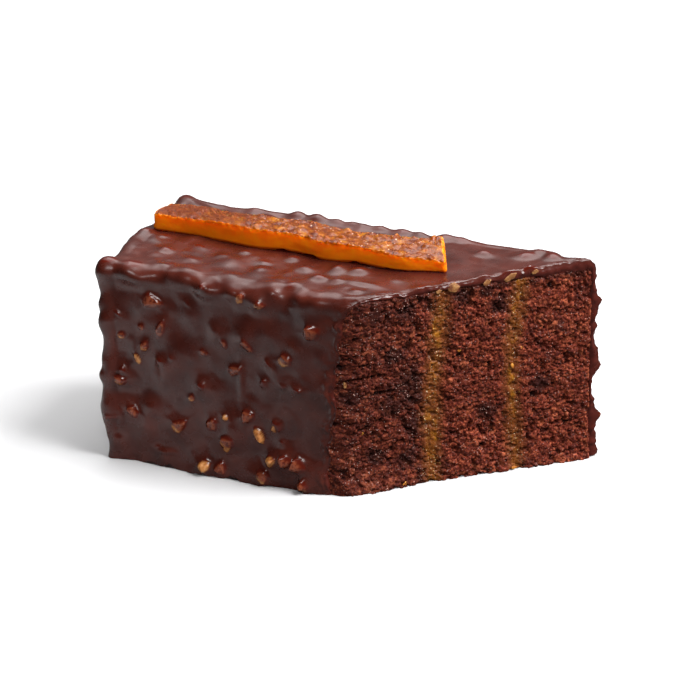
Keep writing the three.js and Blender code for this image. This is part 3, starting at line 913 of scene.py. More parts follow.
class Effects:
    """Effects that more than one finish uses, each a node group built once."""

    def __init__(self) -> None:
        """Builds the groups."""
        self.mottle = self._mottle()
        self.grain = self._grain()
        self.painted_glints = self._painted_glints()

    @staticmethod
    def _group(
        name: str, output: str, kind: str, colours: Sequence[str] = ()
    ) -> tuple[Wiring, bpy.types.Node, bpy.types.Node]:
        """An empty group that is given a place, a density and colours.

        Args:
            name: The group's name.
            output: Its output's name.
            kind: The socket type of that output.
            colours: The names of its colours.

        Returns:
            The wiring, the group's input node and its output node.
        """
        tree = bpy.data.node_groups.new(name, "ShaderNodeTree")
        inputs = {"Place": "NodeSocketVector", "Density": "NodeSocketFloat"}
        inputs |= dict.fromkeys(colours, "NodeSocketColor")
        for socket, its_kind in inputs.items():
            tree.interface.new_socket(name=socket, in_out="INPUT", socket_type=its_kind)
        tree.interface.new_socket(name=output, in_out="OUTPUT", socket_type=kind)
        wiring = Wiring(tree)
        return wiring, wiring.add("NodeGroupInput"), wiring.add("NodeGroupOutput")

    def _mottle(self) -> bpy.types.NodeTree:
        """Uneven colour in patches: dark, base and light.

        Returns:
            The group.
        """
        tones = ("Dark", "Base", "Light")
        wiring, entry, leave = self._group("mottled colour", "Colour", "NodeSocketColor", tones)
        place, density, dark, base, light = entry.outputs[:5]
        sockets = {"Vector": place, "Scale": density, "Detail": 4.0}
        patches = wiring.add("ShaderNodeTexNoise", sockets).outputs["Fac"]
        colour = wiring.mix(wiring.step(patches, 0.52, 0.32), base, dark)
        colour = wiring.mix(wiring.step(patches, 0.52, 0.70), colour, light)
        wiring.set(leave, {"Colour": colour})
        return wiring.tree

    def _grain(self) -> bpy.types.NodeTree:
        """Fine grain too small for the mesh, as a height.

        Returns:
            The group.
        """
        wiring, entry, leave = self._group("fine grain", "Height", "NodeSocketFloat")
        sockets = {"Vector": entry.outputs["Place"], "Scale": entry.outputs["Density"]}
        grain = wiring.add("ShaderNodeTexNoise", {**sockets, "Detail": 5.0, "Roughness": 0.65})
        cells = wiring.add("ShaderNodeTexVoronoi", {**sockets, "Randomness": 1.0})
        lumps = wiring.times(cells.outputs["Distance"], 0.5)
        wiring.set(leave, {"Height": wiring.sum("ADD", grain.outputs["Fac"], lumps)})
        return wiring.tree

    def _painted_glints(self) -> bpy.types.NodeTree:
        """Scattered specks of painted highlight, as a mask.

        Returns:
            The group.
        """
        # Painted highlight: pale specks that finishes mix into their colour
        wiring, entry, leave = self._group("painted_glints", "Mask", "NodeSocketFloat")
        place, density = entry.outputs["Place"], entry.outputs["Density"]
        sockets = {"Vector": place, "Scale": density, "Randomness": 1.0}
        specks = wiring.add("ShaderNodeTexVoronoi", sockets).outputs["Distance"]
        sockets = {"Vector": place, "Scale": wiring.times(density, 0.3), "Detail": 2.0}
        patches = wiring.add("ShaderNodeTexNoise", sockets).outputs["Fac"]
        mask = wiring.times(wiring.step(specks, 0.24, 0.12), wiring.step(patches, 0.42, 0.62))
        wiring.set(leave, {"Mask": mask})
        return wiring.tree


class Paint(Wiring):
    """A material being made, with its Principled shader."""

    ROUGH = 0.55

    def __init__(self, name: str, effects: Effects | None = None) -> None:
        """Starts a material.

        Args:
            name: The material's name.
            effects: The shared effects, where it uses any.
        """
        self.material = bpy.data.materials.new(name)
        self.material.use_nodes = True
        super().__init__(self.material.node_tree)
        self.shader = self.tree.nodes["Principled BSDF"]
        self.effects = effects
        self.place = self.add("ShaderNodeTexCoord").outputs["Object"]

    def effect(self, group: bpy.types.NodeTree, density: float, **colours: Colour) -> Socket:
        """The outcome of a shared effect."""
        sockets = {"Place": self.place, "Density": density, **colours}
        return self.add("ShaderNodeGroup", sockets, node_tree=group).outputs[0]

    def mottled(self, density: float, dark: Colour, base: Colour, light: Colour) -> Socket:
        """Colour in dark, base and light patches."""
        return self.effect(self.effects.mottle, density, Dark=dark, Base=base, Light=light)

    def patches(self, run: float, detail: float, *step: float) -> Socket:
        """A smooth step of noise.

        Args:
            run: The size of its features in millimetres.
            detail: How many finer levels it has.
            step: Where the step begins and ends, and its values there where not 0 and 1.

        Returns:
            The stepped value.
        """
        sockets = {"Scale": 1.0 / (run * MM), "Detail": detail, "Roughness": self.ROUGH}
        noise = self.add("ShaderNodeTexNoise", {"Vector": self.place, **sockets})
        return self.step(noise.outputs["Fac"], *step)

    def finish(
        self, grain: tuple[float, float, float] | None, sockets: dict[str, object]
    ) -> bpy.types.Material:
        """Sets the shader's sockets, which completes the material.

        Args:
            grain: Density, strength and depth in millimetres of the fine grain, where it has any.
            sockets: A value, or another node's output, for each input named.

        Returns:
            The material.
        """
        self.set(self.shader, sockets)
        if grain:
            density, strength, depth = grain
            height = self.effect(self.effects.grain, density)
            relief = {"Height": height, "Strength": strength, "Distance": depth * MM}
            self.set(self.shader, {"Normal": self.add("ShaderNodeBump", relief).outputs["Normal"]})
        return self.material


@dataclass(frozen=True)
class GlazeFinish:
    """Dark chocolate glaze, redder where it is thin over a nut and lighter on a nut's lower side as
    painted light, with bare nut in places.
    """

    dark: Colour = (0.052, 0.0090, 0.0056)
    base: Colour = (0.070, 0.0122, 0.0072)
    light: Colour = (0.088, 0.0162, 0.0094)
    density: float = 140.0
    rim: Colour = (0.085, 0.0085, 0.0038)
    thin_glaze_and_lit_underside: Colour = (0.255, 0.060, 0.0260)
    broken: Colour = (0.070, 0.0098, 0.0058)
    nut_dark: Colour = (0.36, 0.110, 0.022)
    nut: Colour = (0.60, 0.240, 0.070)
    nut_light: Colour = (0.80, 0.410, 0.170)
    nut_density: float = 900.0
    roughness: float = 0.26
    nut_roughness: float = 0.42
    rim_gloss: float = 0.13
    grain: tuple[float, float, float] = (800.0, 0.04, 0.15)

    def material(self, effects: Effects) -> bpy.types.Material:
        """The finish as a material.

        Args:
            effects: The shared effects.

        Returns:
            The material.
        """
        paint = Paint("chocolate glaze", effects)
        thin_glaze_and_lit_underside, bare = paint.mark("thin_glaze_and_lit_underside"), paint.mark("bare")
        rim = paint.step(thin_glaze_and_lit_underside, 0.02, 0.3)
        # thin carries thin glaze and the painted light on nuts' lower sides
        thin = paint.times(paint.step(thin_glaze_and_lit_underside, 0.5, 1.0), paint.patches(0.9, 3.0, 0.36, 0.56, 0.1))
        chocolate = paint.mottled(self.density, self.dark, self.base, self.light)
        nut = paint.mottled(self.nut_density, self.nut_dark, self.nut, self.nut_light)
        colour = paint.mix(rim, chocolate, self.rim)
        colour = paint.mix(thin, colour, self.thin_glaze_and_lit_underside)
        colour = paint.mix(paint.mark("broken"), colour, self.broken)
        colour = paint.mix(bare, colour, nut)
        uneven = paint.patches(5.0, 4.0, 0.35, 0.68, -0.05, 0.07)
        rough = paint.sum("ADD", uneven, self.roughness)
        rough = paint.sum("ADD", rough, paint.times(rim, -self.rim_gloss))
        rough = paint.sum("ADD", rough, paint.times(bare, self.nut_roughness - self.roughness))
        sockets = {"IOR": 1.46, "Specular IOR Level": 0.5}
        return paint.finish(self.grain, {"Base Color": colour, "Roughness": rough, **sockets})


@dataclass(frozen=True)
class SpongeFinish:
    """Torn dark sponge with painted shade in its pores, stained towards the marmalade, and flecked
    with painted glints.
    """

    # Painted shade: the colour of the deep pores
    pore_shade: Colour = (0.012, 0.0020, 0.0014)
    dark: Colour = (0.042, 0.0050, 0.0030)
    base: Colour = (0.148, 0.0205, 0.0088)
    light: Colour = (0.412, 0.1010, 0.0430)
    density: float = 1700.0
    stain: Colour = (0.170, 0.0420, 0.0090)
    moist: Colour = (0.026, 0.0045, 0.0030)
    # Painted highlight: the colour of glints mixed into the crumb
    painted_glint: Colour = (0.620, 0.4100, 0.3500)
    painted_glint_density: float = 1300.0
    roughness: float = 0.85
    moist_roughness: float = 0.18
    grain: tuple[float, float, float] = (2600.0, 0.6, 0.3)

    def material(self, effects: Effects) -> bpy.types.Material:
        """The finish as a material.

        Args:
            effects: The shared effects.

        Returns:
            The material.
        """
        paint = Paint("torn sponge", effects)
        tone, moist, soaked = (paint.mark(name) for name in ("tone", "moist", "soaked"))
        crumb = paint.mottled(self.density, self.dark, self.base, self.light)
        crumb = paint.mix(paint.patches(5.5, 3.0, 0.55, 0.3, 0.0, 0.5), crumb, self.dark)
        crumb = paint.mix(paint.step(tone, 0.45, 0.05, 0.0, 0.75), crumb, self.dark)
        crumb = paint.mix(paint.step(tone, 0.64, 0.95, 0.0, 0.8), crumb, self.light)
        crumb = paint.mix(paint.times(moist, 0.85), crumb, self.moist)
        crumb = paint.mix(paint.step(soaked, 0.05, 0.8, 0.0, 0.75), crumb, self.stain)
        # Painted shade deepens the pores, less where the marmalade has soaked in
        pore_shade = paint.times(paint.mark("pore_shade"), paint.step(soaked, 0.2, 0.8, 1.0, 0.55))
        crumb = paint.mix(pore_shade, crumb, self.pore_shade)
        wet = paint.sum("MAXIMUM", moist, soaked)
        # Painted glints: pale specks in the colour, most where the crumb is wet
        painted_sparkle = paint.effect(effects.painted_glints, self.painted_glint_density)
        painted_shine = paint.times(painted_sparkle, paint.step(wet, 0.0, 0.8, 0.6, 0.95))
        colour = paint.mix(painted_shine, crumb, self.painted_glint)
        specks = paint.times(paint.sum("MAXIMUM", wet, 0.55), paint.patches(0.5, 2.0, 0.52, 0.60))
        rough = paint.step(specks, 0.0, 0.9, self.roughness, self.moist_roughness)
        sockets = {"IOR": 1.42, "Specular IOR Level": 0.24}
        return paint.finish(self.grain, {"Base Color": colour, "Roughness": rough, **sockets})


@dataclass(frozen=True)
class MarmaladeFinish:
    """Wet orange marmalade soaked into crumb, with painted shade in its pores and painted glints.
    """

    dark: Colour = (0.150, 0.040, 0.0060)
    base: Colour = (0.192, 0.056, 0.0065)
    light: Colour = (0.365, 0.138, 0.0095)
    density: float = 330.0
    border: Colour = (0.150, 0.036, 0.0095)
    # Painted shade: the colour of the deep pores
    pore_shade: Colour = (0.050, 0.0110, 0.0030)
    # Painted highlight: the colour of glints mixed into the marmalade
    painted_glint: Colour = (0.86, 0.660, 0.3600)
    painted_glint_density: float = 1300.0
    roughness: float = 0.6
    wet_roughness: float = 0.15
    grain: tuple[float, float, float] = (2200.0, 0.5, 0.3)
    see_in: tuple[float, float, float] = (1.0, 0.6, 0.2)

    def material(self, effects: Effects) -> bpy.types.Material:
        """The finish as a material.

        Args:
            effects: The shared effects.

        Returns:
            The material.
        """
        paint = Paint("marmalade", effects)
        colour = paint.mottled(self.density, self.dark, self.base, self.light)
        at_border = paint.step(paint.mark("soaked"), 0.98, 0.66, 0.0, 0.95)
        colour = paint.mix(at_border, colour, self.border)
        # Painted shade in the deep pores
        colour = paint.mix(paint.times(paint.mark("pore_shade"), 0.55), colour, self.pore_shade)
        colour = paint.mix(paint.patches(8.0, 2.0, 0.44, 0.60, 0.0, 0.6), colour, self.border)
        # Painted glints: pale specks in the colour
        painted_sparkle = paint.effect(effects.painted_glints, self.painted_glint_density)
        colour = paint.mix(paint.times(painted_sparkle, 0.9), colour, self.painted_glint)
        specks = paint.patches(0.6, 2.0, 0.48, 0.60)
        rough = paint.step(specks, 0.0, 1.0, self.roughness, self.wet_roughness)
        sockets = {
            "IOR": 1.42,
            "Specular IOR Level": 0.3,
            "Subsurface Weight": 0.35,
            "Subsurface Radius": self.see_in,
            "Subsurface Scale": 0.9 * MM,
        }
        return paint.finish(self.grain, {"Base Color": colour, "Roughness": rough, **sockets})


@dataclass(frozen=True)
class PeelFinish:
    """Candied orange peel: clear orange sides under a duller pored rind flecked with painted
    glints, with a dark line along the sides' foot as painted contact shade.
    """

    side_dark: Colour = (0.92, 0.200, 0.003)
    side: Colour = (0.97, 0.265, 0.003)
    side_light: Colour = (0.98, 0.330, 0.004)
    side_density: float = 260.0
    rind_dark: Colour = (0.136, 0.022, 0.005)
    rind: Colour = (0.240, 0.054, 0.003)
    rind_light: Colour = (0.430, 0.138, 0.004)
    rind_density: float = 330.0
    # Dark red of the thin line at the rind's edge, and of the painted contact shade at the sides'
    # foot
    rim_line_and_contact_shade: Colour = (0.36, 0.036, 0.003)
    # Painted highlight: the colour of glints on the rind
    painted_glint: Colour = (0.800, 0.500, 0.320)
    painted_glint_density: float = 760.0
    roughness: float = 0.24
    rind_roughness: float = 0.4
    grain: tuple[float, float, float] = (650.0, 0.12, 0.3)
    see_in: tuple[float, float, float] = (0.85, 0.85, 0.3)

    def material(self, effects: Effects) -> bpy.types.Material:
        """The finish as a material.

        Args:
            effects: The shared effects.

        Returns:
            The material.
        """
        paint = Paint("candied peel", effects)
        dull, top = paint.mark("dull"), paint.mark("rind")
        side = paint.mottled(self.side_density, self.side_dark, self.side, self.side_light)
        side = paint.mix(paint.mark("red"), side, self.side_dark)
        rind = paint.mottled(self.rind_density, self.rind_dark, self.rind, self.rind_light)
        rind = paint.mix(dull, rind, self.rind_dark)
        # Painted glints on the rind, fewer where it is dull
        painted_sparkle = paint.effect(effects.painted_glints, self.painted_glint_density)
        painted_sparkle = paint.times(painted_sparkle, paint.step(dull, 0.0, 0.75, 0.85, 0.35))
        rind = paint.mix(painted_sparkle, rind, self.painted_glint)
        colour = paint.mix(paint.mark("rim_line_and_contact_shade"), paint.mix(top, side, rind), self.rim_line_and_contact_shade)
        rough = paint.step(dull, 0.0, 0.75, self.roughness, self.rind_roughness)
        specks = paint.times(top, paint.patches(1.3, 3.0, 0.46, 0.62))
        rough = paint.sum("SUBTRACT", rough, paint.times(specks, 0.14))
        sockets = {
            "Coat Weight": paint.times(top, paint.step(dull, 0.0, 0.5, 0.3, 0.0)),
            "Coat Roughness": 0.14,
            "Coat IOR": 1.45,
            "IOR": 1.45,
            "Specular IOR Level": 0.22,
            "Subsurface Weight": 0.95,
            "Subsurface Radius": self.see_in,
            "Subsurface Scale": 3.1 * MM,
        }
        return paint.finish(self.grain, {"Base Color": colour, "Roughness": rough, **sockets})


@dataclass(frozen=True)
class BitFinish:
    """Small bits in the cut: the pale inside of sliced nuts, or crumbs of orange."""

    name: str
    dark: Colour
    base: Colour
    light: Colour
    density: float = 1100.0
    roughness: float = 0.5
    grain: tuple[float, float, float] = (2500.0, 0.4, 0.15)

    def material(self, effects: Effects) -> bpy.types.Material:
        """The finish as a material.

        Args:
            effects: The shared effects.

        Returns:
            The material.
        """
        paint = Paint(self.name, effects)
        colour = paint.mottled(self.density, self.dark, self.base, self.light)
        return paint.finish(self.grain, {"Base Color": colour, "Roughness": self.roughness})


@dataclass(frozen=True)
class Drape:
    """How glaze lies over a nut.

    It rounds the nut's edges, climbs round it by a share of its height and within a reach, grows
    it sideways, and is thin enough for some of it to glow through where the nut is a soft lump.
    """

    edge: float
    climb: float
    reach: float
    grow: float
    glow: float


@dataclass
class GlazeCoat:
    """The glaze with its nuts, cut through and hollow where the cake is."""

    DRAPES = {
        THICK: Drape(0.6, 0.5, 1.3, 0.55, 0.2),
        THIN: Drape(0.24, 0.32, 1.0, 0.5, 0.45),
        BARE: Drape(0.12, 0.32, 0.9, 0.25, 0.5),
    }
    # Domes of the sides and of the top: height, size of a cell, and shifts along and across
    SIDE_DOMES = ((1.7, 9.0, 7.0, 3.0), (0.3, 4.6, 90.0, 0.0))
    TOP_DOMES = ((0.8, 7.2, 5.0, 0.0), (0.14, 3.4, 60.0, 30.0))
    # Swells of the front side: place along the loaf, height, how far out, and both reaches
    FRONT_SWELLS = (
        (0.6, 58.6, 1.4, 2.4, 2.6), (7.4, 59.8, 1.0, 3.4, 1.9), (20.6, 60.2, 0.6, 1.9, 1.4),
        (12.0, 54.2, -0.8, 10.0, 3.0), (33.6, 57.2, 1.2, 3.4, 2.4), (40.6, 58.6, 0.8, 2.6, 2.4),
        (48.9, 56.0, 1.4, 3.4, 2.8), (45.0, 53.4, -0.4, 6.0, 2.4), (53.4, 59.6, 0.6, 1.8, 1.6),
        (58.0, 57.6, -0.6, 2.2, 2.6), (60.6, 59.8, 0.7, 2.0, 1.6), (66.6, 58.8, 0.4, 3.0, 2.0),
        (27.4, 57.0, -0.4, 2.6, 2.6), (43.0, 31.5, 0.8, 1.0, 5.5), (12.0, 58.0, 0.5, 2.2, 1.6),
        (18.5, 5.0, 0.6, 3.0, 0.8), (31.8, 0.8, 0.6, 2.6, 2.4), (37.0, 0.8, 0.8, 2.2, 2.2),
        (50.6, 0.8, 1.1, 2.8, 2.6), (64.8, 0.8, 0.8, 2.2, 2.2), (9.0, 0.8, -0.6, 1.6, 1.2),
    )  # fmt: skip
    # Swells of the top: place along the loaf and across it, how far up, and both reaches
    TOP_SWELLS = (
        (74.0, 13.0, 0.6, 7.0, 1.4), (52.4, 12.6, 0.5, 1.4, 3.4), (24.0, 5.0, 0.4, 3.0, 2.4),
        (13.0, 7.0, 0.5, 2.8, 2.2), (38.0, 5.0, 0.4, 2.4, 2.2), (6.0, 51.0, 1.2, 4.0, 3.6),
        (24.0, 54.0, 0.6, 12.0, 2.6), (52.0, 54.0, 0.6, 14.0, 2.6),
    )  # fmt: skip

    loaf: Loaf
    bed: NutBed
    noise: Noise
    steps_long: int = 200
    steps_wide: int = 118
    steps_high: int = 134
    rim_rows: Row = (1.1, 0.7, 0.42, 0.2, 0.07, 0.0)
    rim_round: float = 0.45
    rim_front: float = 0.75
    rim_back: float = 1.5
    rim_top: float = 59.8
    band_steps: int = 5
    ripple: float = 0.05
    lip: float = 1.5
    ragged: float = 0.9
    stretch: float = 1.25
    same_face: float = 0.45
    over_edge: float = -0.1
    chipped: float = 0.3
    steepness: float = 2.7
    join: float = 0.38
    blob_soft: float = 0.75
    blob_rise: float = 0.8
    blob_power: float = 1.2
    blob_fall: float = 1.3
    # Where a nut's lift fades: past the limit of its facing, and towards its furthest reach
    facing_fade: float = 0.4
    reach_fade: Pair = (1.0, 0.7)
    fade_out: float = 3.0
    # How far nuts wobble, and the shares of a soft lump at which it glows and wears bare
    wobble_run: float = 1.1
    chop_wobble: float = 0.06
    tallest: float = 1.35
    glow_wobble: float = 0.3
    glow_span: Pair = (0.45, 0.95)
    wear_wobble: float = 0.5
    wear_span: Pair = (0.75, 0.95)
    # Broad unevenness of the sides, and the span before the cut where the front evens out
    broad_size: float = 0.5
    broad_run: float = 11.0
    broad_low: float = 0.8
    slow_run: float = 22.0
    slow_low: float = 0.1
    near_cut: Pair = (42.0, 60.0)
    near_cut_out: float = 0.6
    end_bow: float = 1.2
    end_bow_span: Pair = (2.0, 12.0)
    back_calm: float = 0.5
    top_low: float = 0.3
    ripple_run: float = 3.1

    def _number(self, i: Array, j: Array, k: Array) -> Array:
        """One number for each lattice place."""
        return (i * (self.steps_wide + 1) + j) * (self.steps_high + 1) + k

    def _lattice(self) -> tuple[Array, Array, Array]:
        """Lattice places of the outside, with its faces.

        Returns:
            The places' numbers in rising order, the whole-number places themselves, n by 3, and
            quads of their indices, facing out.
        """
        nt, ny, nz = self.steps_long, self.steps_wide, self.steps_high
        along, up = np.meshgrid(np.arange(nt + 1), np.arange(nz + 1), indexing="ij")
        side, side_up = np.meshgrid(np.arange(ny + 1), np.arange(nz + 1), indexing="ij")
        top, top_side = np.meshgrid(np.arange(nt + 1), np.arange(ny + 1), indexing="ij")
        sheets = [
            (self._number(along, 0, up), 1),
            (self._number(along, ny, up), -1),
            (self._number(0, side, side_up), -1),
            (self._number(top, top_side, nz), 1),
        ]
        found = np.unique(np.concatenate([sheet.ravel() for sheet, _ in sheets]))
        quads = [
            quads_of(*[n[:-1, :-1], n[1:, :-1], n[1:, 1:], n[:-1, 1:]][::turn])
            for n, turn in sheets
        ]
        places = (found // ((ny + 1) * (nz + 1)), found // (nz + 1) % (ny + 1), found % (nz + 1))
        return found, side_by_side(*places), np.searchsorted(found, np.concatenate(quads))

    def _ends(self, y: Array, z: Array) -> Array:
        """The box length at which the skin meets the cut, found in a few rounds.

        Args:
            y: Places across the loaf.
            z: Heights.

        Returns:
            The length at each.
        """
        x = self.loaf.cut_at(y, z)
        for _ in range(5):
            point, _ = self.loaf.skin(side_by_side(x, y, z))
            x = x + self.loaf.cut_at(point[:, 1], point[:, 2]) - point[:, 0]
        return x

    def _nuts(self, point: Array, normal: Array) -> tuple[Array, Array, Array]:
        """Raises the skin over every nut.

        Args:
            point: Places on the skin.
            normal: The way it faces.

        Returns:
            How far each place rises, how thin the glaze is there with painted light on nuts' lower
            sides, and how bare the nut.
        """
        rise, thin_glaze_and_lit_underside, bare = (np.zeros(len(point)) for _ in range(3))
        wobble = self.noise.at(point, self.wobble_run, 2)
        for nut in self.bed.nuts:
            far = np.linalg.norm(point - nut.centre, axis=1)
            facing = normal @ nut.up
            limit = self.over_edge if nut.soft else self.same_face
            near = np.flatnonzero((far < nut.reach) & (facing > limit))
            if not len(near):
                continue
            fade = smooth(facing[near], limit, limit + self.facing_fade)
            fade = fade * smooth(far[near] / nut.reach, *self.reach_fade)
            drape = self.DRAPES[nut.cover]
            if nut.soft:
                share = self._blob(nut, point[near])
                rise[near] += self.blob_rise * nut.high * share * fade
                glowing = share + self.glow_wobble * wobble[near]
                thin = drape.glow * fade * smooth(glowing, *self.glow_span)
                worn = fade * smooth(share + self.wear_wobble * wobble[near], *self.wear_span)
                worn = worn if nut.cover is BARE else 0.0
            else:
                out = nut.depth_out(point[near], normal[near], drape.edge, drape.grow)
                out = np.minimum(out + self.chop_wobble * wobble[near], nut.high * self.tallest)
                run = self.steepness * drape.reach
                skirt = drape.climb * nut.high * np.exp(np.minimum(out, 0.0) / run)
                lifted = -soft_min(-out * self.stretch, -skirt, self.join)
                lifted = np.where(out < -self.fade_out * self.steepness * drape.reach, 0.0, lifted)
                rise[near] = np.maximum(rise[near], lifted * fade)
                thin, worn = self._worn(nut, point[near], out / nut.high)
            thin_glaze_and_lit_underside[near] = np.maximum(thin_glaze_and_lit_underside[near], thin)
            bare[near] = np.maximum(bare[near], worn)
        return rise, thin_glaze_and_lit_underside, bare

    def _worn(self, nut: Nut, point: Array, share: Array) -> tuple[Array, Array | float]:
        """How thin the glaze is over a nut with painted light on its lower side, and how bare the
        nut, mostly at its underside.

        Args:
            nut: The nut.
            point: Places on the skin.
            share: How far the nut stands out at each, as a share of its height.

        Returns:
            How thin the glaze is at each place, raised towards the lower side as painted light, and
            how bare the nut.
        """
        below = (nut.centre - point)[:, 2] / nut.long
        if nut.cover is THICK:
            return 0.3 * smooth(share, 0.4, 1.0), 0.0
        if nut.cover is BARE:
            return 0.4 * smooth(share, 0.0, 0.3), smooth(share + 0.25 * below, 0.3, 0.62)
        # Painted light: more film, so a lighter red, towards the nut's lower side
        thin_glaze_and_lit_underside = smooth(share + 0.5 * below, 0.0, 1.0)
        if nut.long * 6.7 % 1.0 >= self.chipped:
            return thin_glaze_and_lit_underside, 0.0
        chip_side = 0.85 * below + 0.5 * (nut.centre - point)[:, 0] / nut.long
        return thin_glaze_and_lit_underside, 0.85 * (smooth(chip_side, 0.1, 0.26) * smooth(share, 0.3, 0.45))

    def _blob(self, nut: Nut, point: Array) -> Array:
        """The soft lump that a nut under thick glaze makes on the top.

        Args:
            nut: The nut.
            point: Places on the skin.

        Returns:
            How far each place rises, as a share of the lump's height.
        """
        from_middle = point - nut.centre
        along = (from_middle @ nut.along) / (0.5 * nut.long + self.blob_soft)
        across = (from_middle @ nut.across) / (0.5 * nut.wide + self.blob_soft)
        return np.exp(-((along**2 + across**2) ** self.blob_power) * self.blob_fall)

    def _domes(self, a: Array, b: Array, rows: tuple[Row, ...]) -> Array:
        """Soft domes of several sizes, added up."""
        domes = self.noise.domes
        return sum(high * domes(a + to_a, b + to_b, run) for high, run, to_a, to_b in rows)

    def _unevenness(self, point: Array, normal: Array) -> Array:
        """Soft unevenness of the poured glaze, lumpier on the top towards the front side.

        Args:
            point: Places on the skin.
            normal: The way it faces.

        Returns:
            How far each place stands off.
        """
        noise = self.noise
        x, y, z = point.T
        to_end, to_front, _ = np.clip(-normal, 0.0, 1.0).T
        around = x - y
        broad = self._domes(around, z, self.SIDE_DOMES)
        broad += self.broad_size * noise.at(point, self.broad_run, 2) - self.broad_low
        # Near the cut the front stands out evenly, clear of the sponge
        by_cut = smooth(x, *self.near_cut)
        slow = noise.at(point + 13.0, self.slow_run, 1) - self.slow_low
        slow = (1.0 - by_cut) * slow + self.near_cut_out * by_cut
        broad += slow * to_front
        broad += self.end_bow * to_end * smooth(z, *self.end_bow_span)
        calm_back = 1.0 - self.back_calm * np.clip(normal[:, 1], 0.0, 1.0)
        lumpy = self._domes(x, y, self.TOP_DOMES) - self.top_low
        calm = 1.0 - 0.8 * smooth(x, 70.0, 100.0) - 0.2 * smooth(y, 14.0, 26.0)
        top = np.maximum(normal[:, 2], 0.0)
        on_edge = np.clip(-2.0 * normal[:, 1] * normal[:, 2], 0.0, 1.0)
        swells = self.lip * on_edge * (noise.domes(x + 33.0, 0.4 * z, 6.4) - 0.4)
        for row in self.FRONT_SWELLS:
            swells += mound(x, z, row) * smooth(y, 5.0, 1.5)
        for row in self.TOP_SWELLS:
            swells += mound(x, y, row) * top
        fine = self.ripple * noise.at(point, self.ripple_run, 2)
        sides = np.hypot(normal[:, 0], normal[:, 1])
        return sides * calm_back * broad + top * calm * lumpy + swells + fine

    def _core_rim(self, y: Array, z: Array) -> Array:
        """The inner border of the glaze at the cut.

        Args:
            y: Places across on the box's section.
            z: Heights on it.

        Returns:
            The border's places across and heights.
        """
        loaf = self.loaf
        low, high, top = self.rim_front, loaf.width - self.rim_back, self.rim_top
        across = low + (high - low) * y / loaf.width
        up = (z - loaf.glaze_foot) / (loaf.height - loaf.glaze_foot) * top
        r = loaf.core_round
        inner = side_by_side(np.clip(across, low + r, high - r), np.minimum(up, top - r))
        way = side_by_side(across, up) - inner
        way /= np.maximum(np.linalg.norm(way, axis=1, keepdims=True), 1e-9)
        border = inner + way * r
        flat = side_by_side(across, up, np.zeros_like(up))
        drape = 0.7 * np.maximum(self.noise.at(flat, 3.1, 2) + 0.15, 0.0)
        drape = drape + 0.5 * smooth(across, 34.0, 50.0)
        near_top = smooth(across, 4.0, 9.0) * smooth(border[:, 1], top - 2.0, top - 0.3)
        border[:, 1] -= drape * near_top
        return border

    def _outside(self, lattice: Array) -> tuple[Array, dict[str, Array]]:
        """The glaze's outer surface.

        Args:
            lattice: The whole-number places.

        Returns:
            Its places, and its marks: film and bare.
        """
        loaf = self.loaf
        i, j, k = lattice.T
        y = loaf.width * j / self.steps_wide
        z = loaf.glaze_foot + (loaf.height - loaf.glaze_foot) * k / self.steps_high
        ends = self._ends(y, z)
        plain = self.steps_long - len(self.rim_rows) + 1
        share = np.minimum(i / plain, 1.0)
        back_off = np.zeros(self.steps_long + 1)
        back_off[plain:] = self.rim_rows
        x = np.where(i < plain, share * ends - self.rim_rows[0] * share, ends - back_off[i])
        point, normal = loaf.skin(side_by_side(x, y, z))
        rise, thin_glaze_and_lit_underside, bare = self._nuts(point, normal)
        ripples = self._unevenness(point, normal)
        to_cut = np.maximum(ends - x, 0.0)
        torn = self.ragged * np.maximum(self.noise.at(point + 71.0, 1.9, 3), -0.3)
        ripples += torn * smooth(to_cut, 3.0, 0.3)
        near = np.clip(self.rim_round - to_cut, 0.0, self.rim_round)
        rounded = self.rim_round - np.sqrt(np.maximum(self.rim_round**2 - near**2, 0.0))
        point = point + normal * (rise + ripples - rounded)[:, None]
        point[:, 0] += (x / ends) ** 6 * (loaf.cut_at(point[:, 1], point[:, 2]) - ends)
        foot = k == 0
        point[foot, 2] = 0.1 + 1.5 * np.maximum(self.noise.at(point[foot], 3.4, 2) + 0.2, 0.0)
        return point, {"thin_glaze_and_lit_underside": thin_glaze_and_lit_underside, "bare": bare}

    def _cut_rings(self, rim: Array, y: Array, z: Array) -> list[Array]:
        """Rings of places from the glaze's outer rim at the cut, over its torn edge and inside.

        Args:
            rim: The places of the outer rim.
            y: Places across of the rim on the box's section.
            z: Heights of the rim on it.

        Returns:
            The rings, the last one at the inside's far end.
        """
        loaf = self.loaf
        core = self._core_rim(y, z)
        inner = side_by_side(loaf.cut_at(core[:, 0], core[:, 1]), core[:, 0], core[:, 1])
        inner[[0, -1], 2] = rim[[0, -1], 2]
        rings = []
        for step in range(1, self.band_steps + 1):
            share = step / self.band_steps
            ring = rim * (1 - share) + inner * share
            bow = 0.35 * math.sin(math.pi * share) + 0.62 * self.noise.at(ring, 1.5, 3)
            ring[:, 0] = loaf.cut_at(ring[:, 1], ring[:, 2])
            rings.append(ring + loaf.facing * bow[:, None])
        far_end = inner.copy()
        far_end[:, 0] = loaf.glaze_side
        far_end[:, 1] = np.clip(far_end[:, 1], loaf.glaze_side, loaf.width - loaf.glaze_side)
        return [*rings, far_end]

    def shape(self) -> Shape:
        """The glaze as a closed mesh.

        Returns:
            The mesh with its marks: film, bare and broken.
        """
        loaf = self.loaf
        nt, ny, nz = self.steps_long, self.steps_wide, self.steps_high
        numbers, lattice, quads = self._lattice()
        point, marks = self._outside(lattice)

        def index(i: Array, j: Array, k: Array) -> Array:
            """The indices of lattice places."""
            return np.searchsorted(numbers, self._number(i, j, k))

